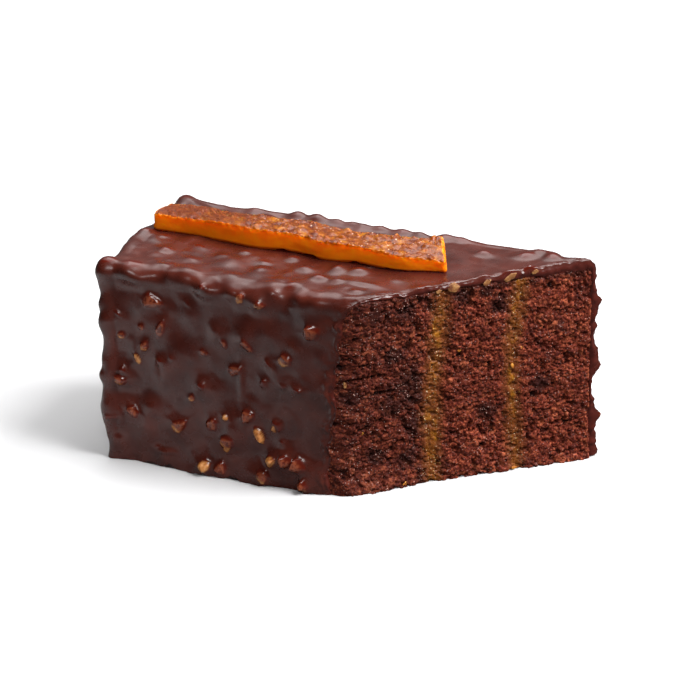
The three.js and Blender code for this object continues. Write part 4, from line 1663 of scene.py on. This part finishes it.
        up, over = np.arange(nz + 1), np.arange(1, ny + 1)
        rim = np.concatenate([index(nt, 0, up), index(nt, over, nz), index(nt, ny, up[-2::-1])])
        rim_y = loaf.width * lattice[rim, 1] / ny
        rim_z = loaf.glaze_foot + (loaf.height - loaf.glaze_foot) * lattice[rim, 2] / nz
        inside = self._cut_rings(point[rim], rim_y, rim_z)
        count, wide = len(point), len(rim)
        rings = [rim] + [np.arange(wide) + count + n * wide for n in range(len(inside))]
        strips = [quads_of(a[:-1], b[:-1], b[1:], a[1:]) for a, b in zip(rings[:-1], rings[1:])]
        lengthwise = np.arange(nt + 1)
        foot_front = index(lengthwise, 0, 0).tolist()
        foot_back = index(lengthwise, ny, 0).tolist()
        foot_end = index(0, np.arange(ny + 1), 0).tolist()
        far_end = rings[-1].tolist()
        polygons = [
            far_end,
            [*foot_front, *(int(ring[0]) for ring in rings[1:])][::-1],
            [far_end[0], far_end[-1], *foot_end[::-1]],
            [*foot_back[::-1], *(int(ring[-1]) for ring in rings[1:])][::-1],
        ]
        places = np.concatenate([point, *inside])
        marks = {name: np.pad(mark, (0, len(places) - count)) for name, mark in marks.items()}
        marks["broken"] = np.zeros(len(places))
        marks["broken"][count : count + wide * self.band_steps] = 1.0
        return Shape(places, np.concatenate([quads, *strips]), polygons, marks)


@dataclass
class CutRelief:
    """The torn face of the cut: one relief that every layer shares."""

    # Dark moist patches: place along the cut, height and radius
    MOIST = (
        (21.0, 31.0, 8.0), (24.0, 20.0, 6.0), (15.0, 26.0, 5.0), (47.5, 53.5, 4.0),
        (28.0, 4.0, 6.5), (22.0, 9.0, 5.5), (45.0, 20.0, 4.0), (61.0, 26.0, 3.5),
        (8.0, 55.0, 4.0), (12.0, 11.0, 4.5), (15.0, 41.0, 4.0), (36.0, 57.0, 3.6),
        (28.0, 56.0, 3.6), (43.0, 57.4, 3.0), (18.0, 55.0, 4.0), (4.0, 30.0, 3.5),
        (31.0, 46.0, 3.0),
    )  # fmt: skip
    # Large single pores: place along the cut, height and radius
    CAVES = (
        (63.0, 56.0, 1.5), (35.5, 38.5, 1.3), (12.0, 44.0, 1.1), (44.0, 9.0, 1.2),
        (69.0, 31.0, 1.1), (40.5, 50.0, 1.0), (17.0, 12.0, 1.2), (58.0, 15.0, 1.0),
        (26.5, 40.0, 1.0), (52.0, 44.0, 1.1), (33.0, 25.0, 1.0), (9.0, 20.0, 1.2),
        (66.0, 44.0, 0.9), (55.0, 4.5, 1.0),
    )  # fmt: skip

    loaf: Loaf
    noise: Noise
    swell: float = 0.5
    swell_run: float = 8.0
    # Lumps of three sizes: size of a cell, height, and the share that lies below the plain cut
    clumps: tuple[float, float, float] = (3.4, 0.8, 0.4)
    lumps: tuple[float, float, float] = (1.6, 0.85, 0.35)
    grains: tuple[float, float, float] = (0.78, 0.5, 0.35)
    grit: float = 0.24
    crevice: float = 0.5
    cavity: float = 1.05
    highest: float = 0.95
    lowest: float = -2.6
    warp: float = 0.34
    warp_run: float = 1.3
    grit_run: float = 0.5
    crack_run: float = 3.4
    crack_span: Pair = (-0.25, 0.25)
    hollow_run: float = 1.8
    hollow_span: Pair = (0.2, 0.5)
    # Depths below the plain relief over which pores darken as painted shade
    pore_shade_span: Pair = (-0.35, -1.35)
    # How far the marmalade has soaked in: how its border wanders, and where it starts and ends
    soak_wander: float = 1.6
    soak_run: float = 2.4
    soak_span: Pair = (3.2, -1.9)
    # Crumb spread out at the foot of the cut, most of all near the front side
    foot_rise: float = 5.0
    foot_all: float = 1.1
    foot_front: float = 1.5
    foot_front_at: float = 7.0
    foot_front_run: float = 7.0

    def _flat(self, y: Array, z: Array) -> tuple[Array, Array]:
        """Places along the cut, and the same with heights as places in a plane."""
        s = y * self.loaf.cut_stretch
        return s, side_by_side(s, z, np.zeros_like(s))

    def _domes(self, a: Array, b: Array, lumps: tuple[float, float, float]) -> dict[str, Array]:
        """Rounded lumps packed side by side.

        Args:
            a: First coordinates.
            b: Second coordinates.
            lumps: The size of a lump, its height and the share that lies below.

        Returns:
            The height, how much of a crack lies there, and each lump's own tone.
        """
        run, size, below = lumps
        first, second, tone, lift = self.noise.lumps(a, b, run)
        dome = np.sqrt(np.maximum(1.0 - (first / 0.9) ** 2, 0.0))
        height = size * (dome * (0.3 + 0.7 * lift) - below)
        return {"height": height, "crack": smooth(second - first, 0.16, 0.0), "tone": tone}

    def _wet(self, s: Array, z: Array, flat: Array) -> Array:
        """How moist the crumb is.

        Args:
            s: Places along the cut.
            z: Heights.
            flat: Both as places in a plane.

        Returns:
            A share at each place.
        """
        wet = np.zeros_like(s)
        for at_s, at_z, radius in self.MOIST:
            far = np.hypot(s - at_s, z - at_z) / radius + 0.35 * self.noise.at(flat, 2.4, 2)
            wet = np.maximum(wet, smooth(far, 1.1, 0.4))
        to_front = s + 6.0 * self.noise.at(flat, 6.0, 2)
        wet = np.maximum(wet, 0.5 * smooth(to_front, 34.0, 8.0))
        under_top = self.loaf.core_top - z + 0.9 * self.noise.at(flat, 3.0, 2)
        return np.maximum(wet, 0.8 * smooth(under_top, 2.6, 0.6))

    def at(self, y: Array, z: Array) -> dict[str, Array]:
        """The relief at places across the loaf and heights.

        Args:
            y: Places across the loaf.
            z: Heights.

        Returns:
            Height off the plain cut, how deep it lies as painted pore shade, how pale a lump and
            how moist it is.
        """
        s, flat = self._flat(y, z)
        a = s + self.warp * self.noise.at(flat + 3.0, self.warp_run, 3)
        b = z + self.warp * self.noise.at(flat + 41.0, self.warp_run, 3)
        clump = self._domes(a + 17.0, b + 29.0, self.clumps)
        lump = self._domes(a, b, self.lumps)
        grain = self._domes(a * 1.07 + 31.0, b * 1.07 + 11.0, self.grains)
        open_crack = smooth(self.noise.at(flat + 57.0, self.crack_run, 2), *self.crack_span)
        warped = side_by_side(a, b, np.full_like(a, 7.0))
        hollow = smooth(self.noise.at(warped, self.hollow_run, 3), *self.hollow_span)
        broad = self.swell * self.noise.at(flat, self.swell_run, 2)
        height = broad + clump["height"] + lump["height"] + grain["height"]
        height += self.grit * self.noise.at(warped, self.grit_run, 2)
        height -= self.crevice * lump["crack"] * open_crack
        height -= self.cavity * hollow
        for at_s, at_z, radius in self.CAVES:
            far = np.hypot(a - at_s, b - at_z)
            height -= radius * smooth(far / radius, 1.1, 0.3)
        height = np.clip(height, self.lowest, self.highest)
        relief = height - broad
        spread = self.foot_front * bell(y - self.foot_front_at, self.foot_front_run)
        height += (spread + self.foot_all) * bell(z, self.foot_rise)
        tone = 0.5 * lump["tone"] + 0.3 * grain["tone"] + 0.2 * clump["tone"]
        return {
            "height": height,
            "pore_shade": smooth(relief, *self.pore_shade_span),
            "tone": np.clip(tone, 0.0, 1.0),
            "moist": self._wet(s, z, flat),
        }

    def soaked(self, y: Array, z: Array) -> Array:
        """How far the marmalade has soaked in, from 1 inside a band to 0 well outside it.

        Args:
            y: Places across the loaf.
            z: Heights.

        Returns:
            The share at each place, the same for a slab and for the band beside it.
        """
        loaf = self.loaf
        _, flat = self._flat(y, z)
        wander = self.soak_wander * self.noise.at(flat + 23.0, self.soak_run, 3)
        share = np.zeros_like(y)
        for band in loaf.BANDS:
            low, high = (loaf.band_edge(band, side, 0.0, z) for side in (-1, 1))
            outside = np.maximum(low - y, y - high) * loaf.cut_stretch
            share = np.maximum(share, smooth(outside + wander, *self.soak_span))
        return share

    def place(self, y: Array, z: Array, height: Array) -> Array:
        """Places on the cut face, raised by a height."""
        plain = side_by_side(self.loaf.cut_at(y, z), y, z)
        return plain + self.loaf.facing * height[:, None]


@dataclass
class CakeLayer:
    """One slab of sponge or band of marmalade: a bar along the loaf that ends in the torn cut."""

    name: str
    slot: str
    relief: CutRelief
    front: Callable[[Array], Array]
    back: Callable[[Array], Array]
    across: int
    high: int = 262
    top: float = 60.0
    tuck: float = 0.9
    # Where marmalade has soaked in the relief is flatter and lies lower
    soaked_flat: float = 0.45
    soaked_low: float = 0.15
    # The front slab rises from its border by no more than this, and this for each millimetre
    held: Pair = (0.05, 0.85)
    foot_run: float = 1.7
    foot_size: float = 0.5
    tucked_back: bool = False
    held_front: bool = False

    def _cut(self, y: Array, z: Array, from_front: Array, from_back: Array) -> tuple[Array, dict]:
        """The end that shows in the cut.

        Args:
            y: Places across the loaf.
            z: Heights.
            from_front: How far each is from the layer's front border, along the cut.
            from_back: The same from its back border.

        Returns:
            The places, and their marks: pore, tone, moist and soaked.
        """
        marks = self.relief.at(y, z)
        to_glaze = self.top - z
        if self.tucked_back:
            to_glaze = np.minimum(to_glaze, from_back)
        dip = self.tuck * smooth(to_glaze, self.tuck, 0.0)
        soaked = self.relief.soaked(y, z)
        height = marks.pop("height") * (1.0 - self.soaked_flat * soaked)
        height = height - self.soaked_low * soaked - dip
        if self.held_front:
            height = np.minimum(height, self.held[0] + self.held[1] * from_front)
        places = self.relief.place(y, z, height)
        floor = np.abs(self.relief.noise.at(places, self.foot_run, 2)) * self.foot_size
        places[:, 2] = np.where(z == 0.0, floor, np.maximum(places[:, 2], 0.02))
        return places, {**marks, "soaked": soaked}

    def shape(self) -> Shape:
        """The layer as a closed mesh.

        Returns:
            The mesh with its marks: pore, tone, moist and soaked.
        """
        loaf = self.relief.loaf
        rows = np.linspace(0.0, self.top, self.high + 1)
        low, high = self.front(rows), self.back(rows)
        wide = self.across + 1
        grid = low[:, None] + (high - low)[:, None] * np.linspace(0.0, 1.0, wide)[None, :]
        y, z = grid.ravel(), np.repeat(rows, wide)
        from_front = (y - np.repeat(low, wide)) * loaf.cut_stretch
        from_back = (np.repeat(high, wide) - y) * loaf.cut_stretch
        places, marks = self._cut(y, z, from_front, from_back)
        number = np.arange(len(y)).reshape(grid.shape)
        quads = quads_of(number[:-1, :-1], number[:-1, 1:], number[1:, 1:], number[1:, :-1])
        start = loaf.glaze_side + loaf.gap
        far_x, far_z = np.full_like(rows, start), rows * (loaf.core_top - loaf.gap) / self.top
        far = [
            side_by_side(far_x, np.clip(edge, start, loaf.width - start), far_z)
            for edge in (low, high)
        ]
        back_low = np.arange(len(y), len(y) + len(rows))
        back_high = back_low + len(rows)
        left, right = number[:, 0], number[:, -1]
        strips = [
            quads_of(back_low[:-1], left[:-1], left[1:], back_low[1:]),
            quads_of(right[:-1], back_high[:-1], back_high[1:], right[1:]),
            quads_of(back_high[:-1], back_low[:-1], back_low[1:], back_high[1:]),
        ]
        polygons = [
            [*number[0][::-1].tolist(), int(back_low[0]), int(back_high[0])],
            [*number[-1].tolist(), int(back_high[-1]), int(back_low[-1])],
        ]
        marks = {name: np.pad(mark, (0, 2 * len(rows))) for name, mark in marks.items()}
        marks["tone"][len(y) :] = 0.5
        return Shape(
            np.concatenate([places, *far]), np.concatenate([quads, *strips]), polygons, marks
        )


@dataclass
class CutBits:
    """Small bits that show in the cut, each a rounded broken lump."""

    # Rings of each lump: how far out they stand and their size, in shares of the lump
    RINGS = ((-0.5, 0.6), (-0.2, 0.95), (0.0, 1.0), (0.04, 0.92), (0.06, 0.65))

    relief: CutRelief
    # Place along the cut, height, length, width and turn in degrees
    rows: tuple[Row, ...]
    out: float
    on_relief: bool
    seed: int
    sides: int = 16
    corners: int = 5
    unevenness: Pair = (0.8, 1.4)
    tilt: float = 0.12

    def shape(self) -> Shape:
        """All the lumps as closed meshes in one.

        Returns:
            The mesh, without marks.
        """
        loaf = self.relief.loaf
        draws = np.random.default_rng(self.seed)
        facing = loaf.facing
        along = np.array([-facing[1], facing[0], 0.0])
        up = np.array([0.0, 0.0, 1.0])
        bearing = np.arange(self.sides) * 2.0 * math.pi / self.sides
        turns = np.arange(self.corners + 1) * 2.0 * math.pi / self.corners
        places, quads, polygons = [], [], []
        total = 0
        for s, z, long, wide, turn in self.rows:
            y, z = np.array([s / loaf.cut_stretch]), np.array([z])
            height = self.relief.at(y, z)["height"] if self.on_relief else np.zeros(1)
            centre = self.relief.place(y, z, height + self.out)[0]
            angle = math.radians(turn)
            first = along * math.cos(angle) + up * math.sin(angle)
            second = up * math.cos(angle) - along * math.sin(angle)
            corners = draws.uniform(*self.unevenness, self.corners)
            corners = np.append(corners, corners[0])
            outline_a = np.interp(bearing, turns, corners * np.cos(turns))
            outline_b = np.interp(bearing, turns, corners * np.sin(turns))
            tilt = draws.uniform(-self.tilt, self.tilt, 2)
            for ring, (outward, size) in enumerate(self.RINGS):
                a = outline_a * size * long / 2.0
                b = outline_b * size * wide / 2.0
                off = outward * wide + a * tilt[0] + b * tilt[1]
                flat = a[:, None] * first + b[:, None] * second
                places.append(centre + flat + off[:, None] * facing)
                ids = np.arange(total, total + self.sides)
                if ring:
                    below = ids - self.sides
                    quads.append(quads_of(below, np.roll(below, -1), np.roll(ids, -1), ids))
                else:
                    polygons.append(ids[::-1].tolist())
                total += self.sides
            polygons.append(ids.tolist())
        return Shape(np.concatenate(places), np.concatenate(quads), polygons, {})


@dataclass
class CandiedPeel:
    """The strip of candied peel on the top."""

    # Rings of each rounded end: their size against the section, and how far out they stand
    END_RINGS = (
        *((0.975, 0.32), (0.92, 0.6), (0.8, 0.8), (0.62, 0.9)),
        *((0.42, 0.94), (0.22, 0.96), (0.04, 0.97)),
    )

    loaf: Loaf
    form: PeelForm
    noise: Noise
    steps: int = 330
    sink: float = 0.35
    rounds: tuple[float, float, float, float] = (0.7, 0.7, 0.55, 0.4)
    inset: float = 0.7
    arc_steps: int = 5
    side_steps: int = 12
    flat_steps: int = 34

    def _corner(self, index: int, share: float) -> Row:
        """One place on a rounded corner of the section.

        Args:
            index: The corner, from 0, once round.
            share: How far round the corner.

        Returns:
            Its share across and up, its offsets across and up, and the way it faces.
        """
        a, c = ((0, 0), (1, 0), (1, 1), (0, 1))[index]
        r = self.rounds[index]
        angle = math.radians(180.0 + 90.0 * index + 90.0 * share)
        cos, sin = math.cos(angle), math.sin(angle)
        return a, c, (r if a == 0 else -r) + r * cos, (r if c == 0 else -r) + r * sin, cos, sin

    def _ring(self) -> Array:
        """The section's outline, once round from the bottom's front corner.

        Returns:
            For each place: its share across and up, its offsets across and up in millimetres, and
            the way that it faces, across and up.
        """
        rows = []
        for index in range(4):
            arc = [self._corner(index, s / self.arc_steps) for s in range(self.arc_steps + 1)]
            begin, end = arc[-1], self._corner((index + 1) % 4, 0.0)
            count = self.flat_steps if index % 2 == 0 else self.side_steps
            rows += arc
            for step in range(1, count):
                w = step / count
                between = [one * (1 - w) + other * w for one, other in zip(begin[:4], end[:4])]
                rows.append((*between, begin[4], begin[5]))
        return np.array(rows)

    def _ends(self, places: Array, number: Array) -> tuple[list[Array], list[Array], list]:
        """The rounded ends.

        Args:
            places: The strip's places.
            number: Their indices, a row for each section.

        Returns:
            The ends' places, their quads, and the polygon that closes each.
        """
        caps, quads, polygons = [], [], []
        count = number.shape[1]
        total = len(places)
        for row, way in ((0, -1.0), (self.steps, 1.0)):
            outer = number[row]
            centre = places[outer].mean(axis=0)
            for size, outward in self.END_RINGS:
                inner = centre + (places[number[row]] - centre) * size
                inner[:, 0] += way * outward
                caps.append(inner)
                ids = np.arange(total, total + count)
                total += count
                strip = quads_of(outer, ids, np.roll(ids, -1), np.roll(outer, -1))
                quads.append(strip[:, ::-1] if way < 0 else strip)
                outer = ids
            polygons.append((outer if way > 0 else outer[::-1]).tolist())
        return caps, quads, polygons

    def shape(self) -> Shape:
        """The strip as a closed mesh.

        Returns:
            The mesh with its marks: rind, red, dull and line.
        """
        form, noise = self.form, self.noise
        ring = self._ring()
        count = len(ring)
        t = np.repeat(np.linspace(0.0, 1.0, self.steps + 1), count)
        section = np.tile(ring, (self.steps + 1, 1))
        thick = evenly(form.thick, t) + self.sink
        across = section[:, 0] * evenly(form.wide, t) + section[:, 2]
        up = section[:, 1] * thick + section[:, 3]
        way_across, way_up = section[:, 4], section[:, 5]
        start = form.start + self.inset
        length = form.end - start
        flat = side_by_side(t * length, across, up)
        top = smooth(way_up, 0.55, 0.9)
        front = smooth(-way_across, 0.5, 0.9)
        left = smooth(t, 0.5, 0.1)

        # Pits, creases and bubbles of the rind, and fibres of the sides
        pits = noise.pits(flat[:, 0], flat[:, 1] + 0.3 * up, 1.5, (0.3, 0.75), 0.75)
        slanted = side_by_side(flat[:, 0] + 0.8 * flat[:, 1], 0.5 * flat[:, 1], 0.5 * up)
        creases = 0.5 - 2.0 * np.abs(noise.at(slanted, 3.2, 2))
        fibres = noise.at(flat * np.array([0.3, 1.0, 1.0]), 1.5, 3)
        rim = bell(across - 0.25, 0.5) * smooth(up / thick, 0.8, 0.97)
        bubbles = noise.domes(flat[:, 0] + 40.0, flat[:, 1] + 0.3 * up, 2.3)
        rind = -(0.22 - 0.1 * left) * pits + (0.1 + 0.3 * left) * creases
        out = top * (rind + (0.85 - 0.65 * left) * bubbles)
        out += (1 - top) * 0.16 * fibres
        out += rim * 0.7 * noise.at(flat, 1.1, 3)
        broad = 0.25 * noise.at(flat, 9.0, 2)
        across = across + way_across * (out + broad)
        up = up + way_up * (out + 0.6 * broad)
        notch = smooth(t, 0.36, 0.5) * smooth(t, 0.95, 0.8) * smooth(up / thick, 0.25, 0.0)
        hollow = np.maximum(noise.at(flat * np.array([1.0, 0.3, 0.0]), 3.4, 2), 0.0)
        up = up + notch * 0.9 * hollow

        # The strip's lie: twisted, cut on a slant, and draped over the glaze
        turned = np.maximum(t - form.twist_from, 0.0) / (1.0 - form.twist_from)
        twist = np.radians(form.twist) * turned**2
        slant = form.start_slant * (1 - t) ** form.slant_reach
        slant = slant + form.end_slant * t**form.slant_reach
        ragged = 0.5 * noise.at(flat, 2.6, 2) * (smooth(t, 0.02, 0.0) + smooth(t, 0.98, 1.0))
        ragged -= 0.17 * np.maximum(across, 0.0) * smooth(t, 0.93, 1.0)
        x = start + length * t + slant * across + ragged
        y = evenly(form.front, t) + across * np.cos(twist) - up * np.sin(twist)
        box = side_by_side(x, y, np.full_like(x, self.loaf.height))
        bed = self.loaf.skin(box)[0][:, 2] + form.clear - self.sink + evenly(form.rise, t)
        places = side_by_side(x, y, bed + across * np.sin(twist) + up * np.cos(twist))
        number = np.arange(len(x)).reshape(self.steps + 1, count)
        after = np.roll(number, -1, axis=1)
        quads = quads_of(number[:-1], number[1:], after[1:], after[:-1])
        caps, cap_quads, polygons = self._ends(places, number)

        red = smooth(t, 0.03, 0.12) * smooth(t, 0.6, 0.25) * (0.5 + 0.3 * noise.at(flat, 9.0, 2))
        red = np.maximum(red, 0.9 * front * smooth(up / thick, 0.65, 0.1))
        rim_line_and_contact_shade = front * smooth(np.abs(up / thick - 0.97), 0.05, 0.0)
        rim_line_and_contact_shade = rim_line_and_contact_shade * (0.55 + 0.45 * noise.at(flat, 2.0, 2))
        # Painted shade: a dark contact line along the foot of the front side
        rim_line_and_contact_shade = np.maximum(rim_line_and_contact_shade, 0.9 * front * smooth(up / thick, 0.2, 0.08))
        marks = {
            "rind": np.maximum(top, 0.5 * rim),
            "red": np.clip(red, 0, 1),
            "dull": np.clip(left * 0.75 + 0.25 * creases, 0, 1) * top,
            "rim_line_and_contact_shade": np.clip(rim_line_and_contact_shade, 0, 1),
        }
        extra = 2 * count * len(self.END_RINGS)
        marks = {name: np.pad(mark, (0, extra)) for name, mark in marks.items()}
        marks["rim_line_and_contact_shade"][-extra:] = 0.3
        return Shape(
            np.concatenate([places, *caps]), np.concatenate([quads, *cap_quads]), polygons, marks
        )


@dataclass
class Studio:
    """Camera, floor and light, as in the photograph."""

    # Soft lights: azimuth and elevation in degrees, distance and size in metres, power in watts
    LIGHTS = {
        "key light": (93.0, 50.0, 2.0, 1.25, 70.0),
        "back light": (192.0, 56.0, 2.0, 1.1, 7.5),
        "front fill": (18.0, 38.0, 2.0, 0.5, 11.0),
    }

    frame: Frame
    azimuth: float = 22.79
    elevation: float = 22.66
    distance: float = 1306.7
    aim: tuple[float, float, float] = (65.33, 28.0, 33.62)
    lens: float = 232.2
    sensor: float = 36.0
    clip: Pair = (0.05, 50.0)
    floor_size: float = 9.0
    floor_colour: Colour = (0.46, 0.46, 0.465)
    floor_seen: Colour = (0.67, 0.67, 0.678)
    floor_middle: tuple[float, float, float] = (-0.11, -0.06, 0.0)
    floor_fades: Pair = (0.02, 0.16)
    floor_far: float = 0.08
    lit_from: Pair = (0.16, -0.12)
    wall_height: Pair = (0.39, 0.98)
    wall_level: float = 0.14
    ceiling_level: float = 2.6
    dark_level: float = 0.03
    dark_towards: float = -26.0
    world_colour: Colour = (1.0, 0.995, 0.99)

    @staticmethod
    def _direction(azimuth: float, elevation: float) -> Vector:
        """The way from the cake to a place seen at an azimuth and an elevation in degrees."""
        a, e = math.radians(azimuth), math.radians(elevation)
        return Vector((math.sin(a) * math.cos(e), -math.cos(a) * math.cos(e), math.sin(e)))

    @staticmethod
    def _add(name: str, data: bpy.types.ID) -> bpy.types.Object:
        """Adds an object to the scene.

        Args:
            name: Its name.
            data: Its mesh, camera or light.

        Returns:
            The object.
        """
        thing = bpy.data.objects.new(name, data)
        thing.rotation_mode = "QUATERNION"
        bpy.context.scene.collection.objects.link(thing)
        return thing

    def camera(self) -> None:
        """Puts the camera where the photograph was taken from."""
        data = bpy.data.cameras.new("camera")
        data.lens = self.lens
        data.sensor_width = self.sensor
        data.clip_start, data.clip_end = self.clip
        camera = self._add("camera", data)
        back = self._direction(self.azimuth, self.elevation)
        camera.location = self.frame.point(*self.aim) + back * (self.distance * MM)
        camera.rotation_quaternion = (-back).to_track_quat("-Z", "Y")
        bpy.context.scene.camera = camera

    def floor(self) -> None:
        """Lays the pale floor that the cake stands on."""
        half = self.floor_size / 2.0
        corners = [(-half, -half, 0), (half, -half, 0), (half, half, 0), (-half, half, 0)]
        mesh = bpy.data.meshes.new("floor")
        mesh.from_pydata(corners, [], [(0, 1, 2, 3)])
        paint = Paint("pale floor")
        sockets = {0: paint.place, 1: self.floor_middle}
        far = paint.add("ShaderNodeVectorMath", sockets, operation="DISTANCE").outputs["Value"]
        fall = paint.step(far, *self.floor_fades, 1.0, self.floor_far)
        bounced = paint.mix(fall, (0.0, 0.0, 0.0), self.floor_colour)
        seen = paint.add("ShaderNodeLightPath").outputs["Is Camera Ray"]
        colour = paint.mix(seen, bounced, self.floor_seen)
        mesh.materials.append(paint.finish(None, {"Base Color": colour, "Roughness": 0.9}))
        floor = self._add("floor", mesh)

    def lights(self) -> None:
        """Hangs the square soft lights."""
        for name, (azimuth, elevation, far, size, power) in self.LIGHTS.items():
            data = bpy.data.lights.new(name, "AREA")
            data.shape = "SQUARE"
            data.size = size
            data.energy = power
            light = self._add(name, data)
            way = self._direction(azimuth, elevation)
            light.location = way * far
            light.rotation_quaternion = way.to_track_quat("Z", "Y")

    def surroundings(self) -> None:
        """A studio that is bright behind and overhead, and dark on the camera's side."""
        world = bpy.data.worlds.new("studio")
        bpy.context.scene.world = world
        world.use_nodes = True
        wiring = Wiring(world.node_tree)
        way = wiring.add("ShaderNodeTexCoord").outputs["Generated"]
        sockets = {0: way, 1: tuple(self._direction(self.dark_towards, 0.0))}
        facing = wiring.add("ShaderNodeVectorMath", sockets, operation="DOT_PRODUCT")
        height = wiring.add("ShaderNodeSeparateXYZ", {"Vector": way}).outputs["Z"]
        lit = wiring.step(facing.outputs["Value"], *self.lit_from)
        level = wiring.step(height, *self.wall_height, self.wall_level, self.ceiling_level)
        strength = wiring.sum("ADD", wiring.times(lit, level), self.dark_level)
        sockets = {"Strength": strength, "Color": self.world_colour}
        wiring.set(world.node_tree.nodes["Background"], sockets)

    def build(self) -> None:
        """Sets up the whole studio."""
        self.camera()
        self.floor()
        self.surroundings()
        self.lights()
        view = bpy.context.scene.view_settings
        view.view_transform = "Standard"
        view.look = "None"
        view.exposure = 0.0
        view.gamma = 1.0


@dataclass
class Cake:
    """The whole cake: glaze, three slabs of sponge, two bands of marmalade, and the peel."""

    # Place along the cut, height, length, width and turn in degrees
    SLICED_NUTS = (
        (32.3, 60.0, 3.6, 2.8, 10.0), (42.7, 60.0, 2.6, 1.8, 30.0), (50.2, 60.7, 3.8, 1.6, 32.0),
        (57.8, 61.0, 3.0, 1.5, 15.0), (27.8, 59.6, 2.0, 1.3, 20.0), (2.6, 34.5, 1.2, 2.4, 20.0),
    )  # fmt: skip
    ORANGE_CRUMBS = (
        (51.8, 33.0, 1.2, 1.7, 10.0), (54.5, 38.0, 1.2, 0.9, 30.0), (35.3, 40.4, 1.2, 0.9, 40.0),
        (36.9, 41.3, 0.9, 0.8, 0.0), (8.0, 18.5, 1.3, 0.9, 50.0), (21.0, 1.2, 1.7, 1.0, 10.0),
        (53.5, 0.9, 1.8, 0.9, 0.0),
    )  # fmt: skip
    NUT = BitFinish("sliced nut", (0.15, 0.042, 0.015), (0.30, 0.122, 0.036), (0.50, 0.260, 0.100))
    ORANGE = BitFinish(
        "orange crumb", (0.30, 0.070, 0.008), (0.48, 0.160, 0.018), (0.70, 0.320, 0.050)
    )

    frame: Frame
    loaf: Loaf
    effects: Effects
    noise: Noise
    core_front: float = 0.65
    core_back: float = 1.25
    lap: float = 0.35
    glaze_sharp: float = 55.0
    bit_sharp: float = 40.0

    def build(self) -> None:
        """Builds and dresses every piece."""
        peel_form = PeelForm()
        bed = NutBed(self.loaf, peel_form)
        glaze = GlazeCoat(self.loaf, bed, self.noise).shape()
        finish = GlazeFinish().material(self.effects)
        piece = glaze.build("glaze_coat", self.frame, finish, self.glaze_sharp)
        place_piece(piece, "glaze", "glaze")
        relief = CutRelief(self.loaf, self.noise)
        self._layers(relief)
        self._bits(relief)
        peel = CandiedPeel(self.loaf, peel_form, self.noise).shape()
        piece = peel.build("orange_peel", self.frame, PeelFinish().material(self.effects))
        place_piece(piece, "candied_peel", "candied_peel")

    def _outer(self, z: Array, side: float, way: float) -> Array:
        """An outer border of the sponge, which draws in round the top corner.

        Args:
            z: Heights.
            side: Where the border stands below the corner.
            way: 1 for the front side's border, -1 for the back side's.

        Returns:
            The place across the loaf at each height.
        """
        r = self.loaf.core_round
        above = np.clip(z - (CakeLayer.top - r), 0.0, r)
        return side + way * (r - np.sqrt(np.maximum(r * r - above * above, 0.0)))

    def _layers(self, relief: CutRelief) -> None:
        """Builds the slabs and the bands.

        Args:
            relief: The torn face of the cut.
        """
        loaf = self.loaf

        def edge(band: str, side: float, way: float) -> Callable[[Array], Array]:
            """A border that follows a marmalade band, a little outside or inside it."""
            return lambda z: loaf.band_edge(band, side, way * self.lap, z)

        def front(z: Array) -> Array:
            """The front slab's outer border."""
            return self._outer(z, self.core_front, 1.0)

        def back(z: Array) -> Array:
            """The back slab's outer border."""
            return self._outer(z, loaf.width - self.core_back, -1.0)

        sponge, marmalade = "sponge", "marmalade"
        finishes = {
            sponge: SpongeFinish().material(self.effects),
            marmalade: MarmaladeFinish().material(self.effects),
        }
        edges = {
            "sponge_slab_front": (sponge, front, edge("front", -1, -1), 124),
            "sponge_slab_middle": (sponge, edge("front", 1, -1), edge("back", -1, -1), 106),
            "sponge_slab_back": (sponge, edge("back", 1, -1), back, 106),
            "marmalade_band_front": (marmalade, edge("front", -1, 1), edge("front", 1, 1), 26),
            "marmalade_band_back": (marmalade, edge("back", -1, 1), edge("back", 1, 1), 22),
        }
        for name, (slot, low, high, across) in edges.items():
            layer = CakeLayer(name, slot, relief, low, high, across)
            layer.held_front = name == "sponge_slab_front"
            layer.tucked_back = name == "sponge_slab_back"
            piece = layer.shape().build(name, self.frame, finishes[slot])
            place_piece(piece, slot, name.replace("_slab", "").replace("_band", ""))

    def _bits(self, relief: CutRelief) -> None:
        """Builds the sliced nuts and the crumbs of orange.

        Args:
            relief: The torn face of the cut.
        """
        nuts = CutBits(relief, self.SLICED_NUTS, out=0.5, on_relief=False, seed=7).shape()
        finish = self.NUT.material(self.effects)
        place_piece(nuts.build("sliced_nuts", self.frame, finish, self.bit_sharp), "glaze")
        crumbs = CutBits(relief, self.ORANGE_CRUMBS, out=-0.05, on_relief=True, seed=11).shape()
        finish = self.ORANGE.material(self.effects)
        piece = crumbs.build("orange_crumbs", self.frame, finish, self.bit_sharp)
        place_piece(piece, "marmalade")


def main() -> None:
    """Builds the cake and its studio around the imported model."""
    logging.basicConfig(level=logging.INFO, format="%(name)s: %(message)s")
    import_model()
    loaf = Loaf()
    frame = Frame.from_model(loaf)
    Cake(frame, loaf, Effects(), Noise(NOISE_SEED)).build()
    Studio(frame).build()


if __name__ == "__main__":
    main()
